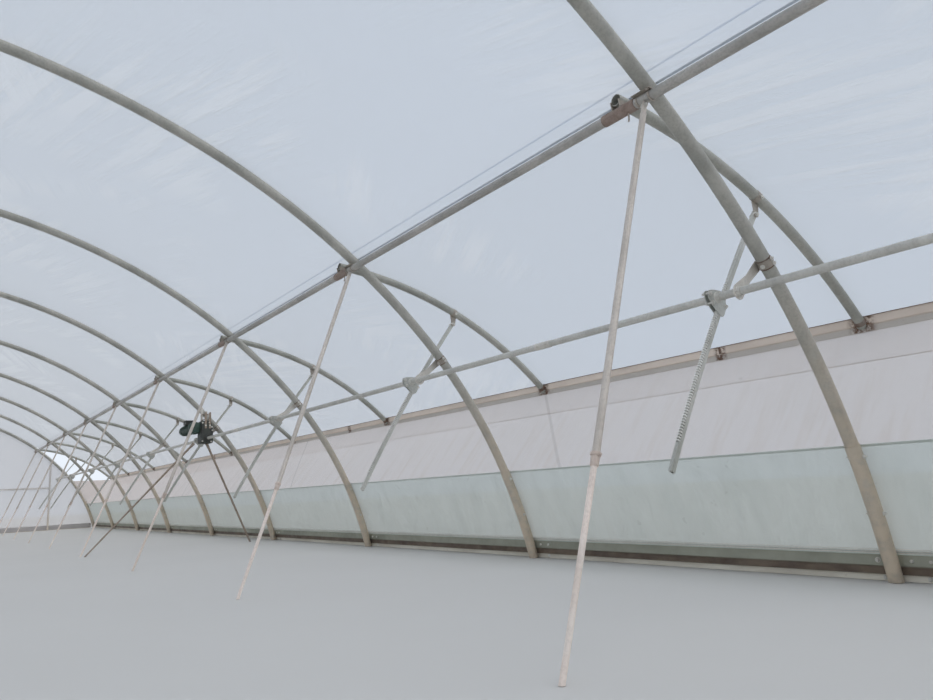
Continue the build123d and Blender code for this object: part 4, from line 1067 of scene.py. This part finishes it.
def stage():
    """Pale floor, white surroundings and one soft lamp high over the tunnel."""
    size = 60.0
    mesh = bpy.data.meshes.new("floor")
    mesh.from_pydata([(-size, -size, 0), (size, -size, 0), (size, size, 0), (-size, size, 0)], [],
                     [(0, 1, 2, 3)])
    floor = bpy.data.objects.new("floor", mesh)
    floor.location.z = -0.002
    bpy.context.scene.collection.objects.link(floor)
    ground = Finish("floor", Roughness=0.9)
    colour = ground.mix(ground.noise(0.8, 3), (0.66, 0.66, 0.65), (0.62, 0.62, 0.61))
    ground.put(ground.surface.inputs["Base Color"], colour)
    mesh.materials.append(ground.material)
    world = bpy.data.worlds.new("surroundings")
    world.use_nodes = True
    nodes, links = world.node_tree.nodes, world.node_tree.links
    light, seen = nodes["Background"], nodes.new("ShaderNodeBackground")
    light.inputs["Color"].default_value = (0.93, 0.96, 1.0, 1)
    light.inputs["Strength"].default_value = 1.0
    seen.inputs["Color"].default_value = (0.84, 0.90, 0.98, 1)
    rays = nodes.new("ShaderNodeLightPath").outputs
    share = rays["Is Camera Ray"]
    for kind in ("Is Glossy Ray", "Is Transmission Ray"):
        either = nodes.new("ShaderNodeMath")
        either.operation = "MAXIMUM"
        links.new(share, either.inputs[0])
        links.new(rays[kind], either.inputs[1])
        share = either.outputs[0]
    mix = nodes.new("ShaderNodeMixShader")
    for socket, output in zip(mix.inputs, (share, light.outputs[0], seen.outputs[0])):
        links.new(output, socket)
    links.new(mix.outputs[0], nodes["World Output"].inputs["Surface"])
    bpy.context.scene.world = world
    lamp = bpy.data.lights.new("sky_lamp", "SUN")
    lamp.energy = 1.1
    lamp.angle = radians(60)
    lamp.color = (1.0, 0.98, 0.95)
    held = bpy.data.objects.new("sky_lamp", lamp)
    held.rotation_euler = (radians(28), radians(24), 0)
    bpy.context.scene.collection.objects.link(held)


# The camera, fitted to the photo
CAMERA_PLACE = (0.645, -10.4405, 0.5143)
CAMERA_YAW, CAMERA_PITCH, CAMERA_ROLL = 36.225, 10.628, -2.923
PHOTO_WIDTH, FOCAL_PIXELS, SENSOR = 933, 736.0, 36.0


def camera():
    """The camera: yaw is from +Y towards +X, pitch above the level, and roll about its own axis."""
    data = bpy.data.cameras.new("camera")
    data.sensor_width = SENSOR
    data.lens = SENSOR * FOCAL_PIXELS / PHOTO_WIDTH
    data.clip_start, data.clip_end = 0.02, 200.0
    made = bpy.data.objects.new("camera", data)
    place = Matrix.Translation(CAMERA_PLACE)
    for angle, axis in ((-CAMERA_YAW, "Z"), (90 + CAMERA_PITCH, "X"), (CAMERA_ROLL, "Z")):
        place = place @ Matrix.Rotation(radians(angle), 4, axis)
    made.matrix_world = place
    bpy.context.scene.collection.objects.link(made)
    bpy.context.scene.camera = made


stage()
camera()
bpy.context.scene.view_settings.view_transform = "Standard"
bpy.context.view_layer.update()
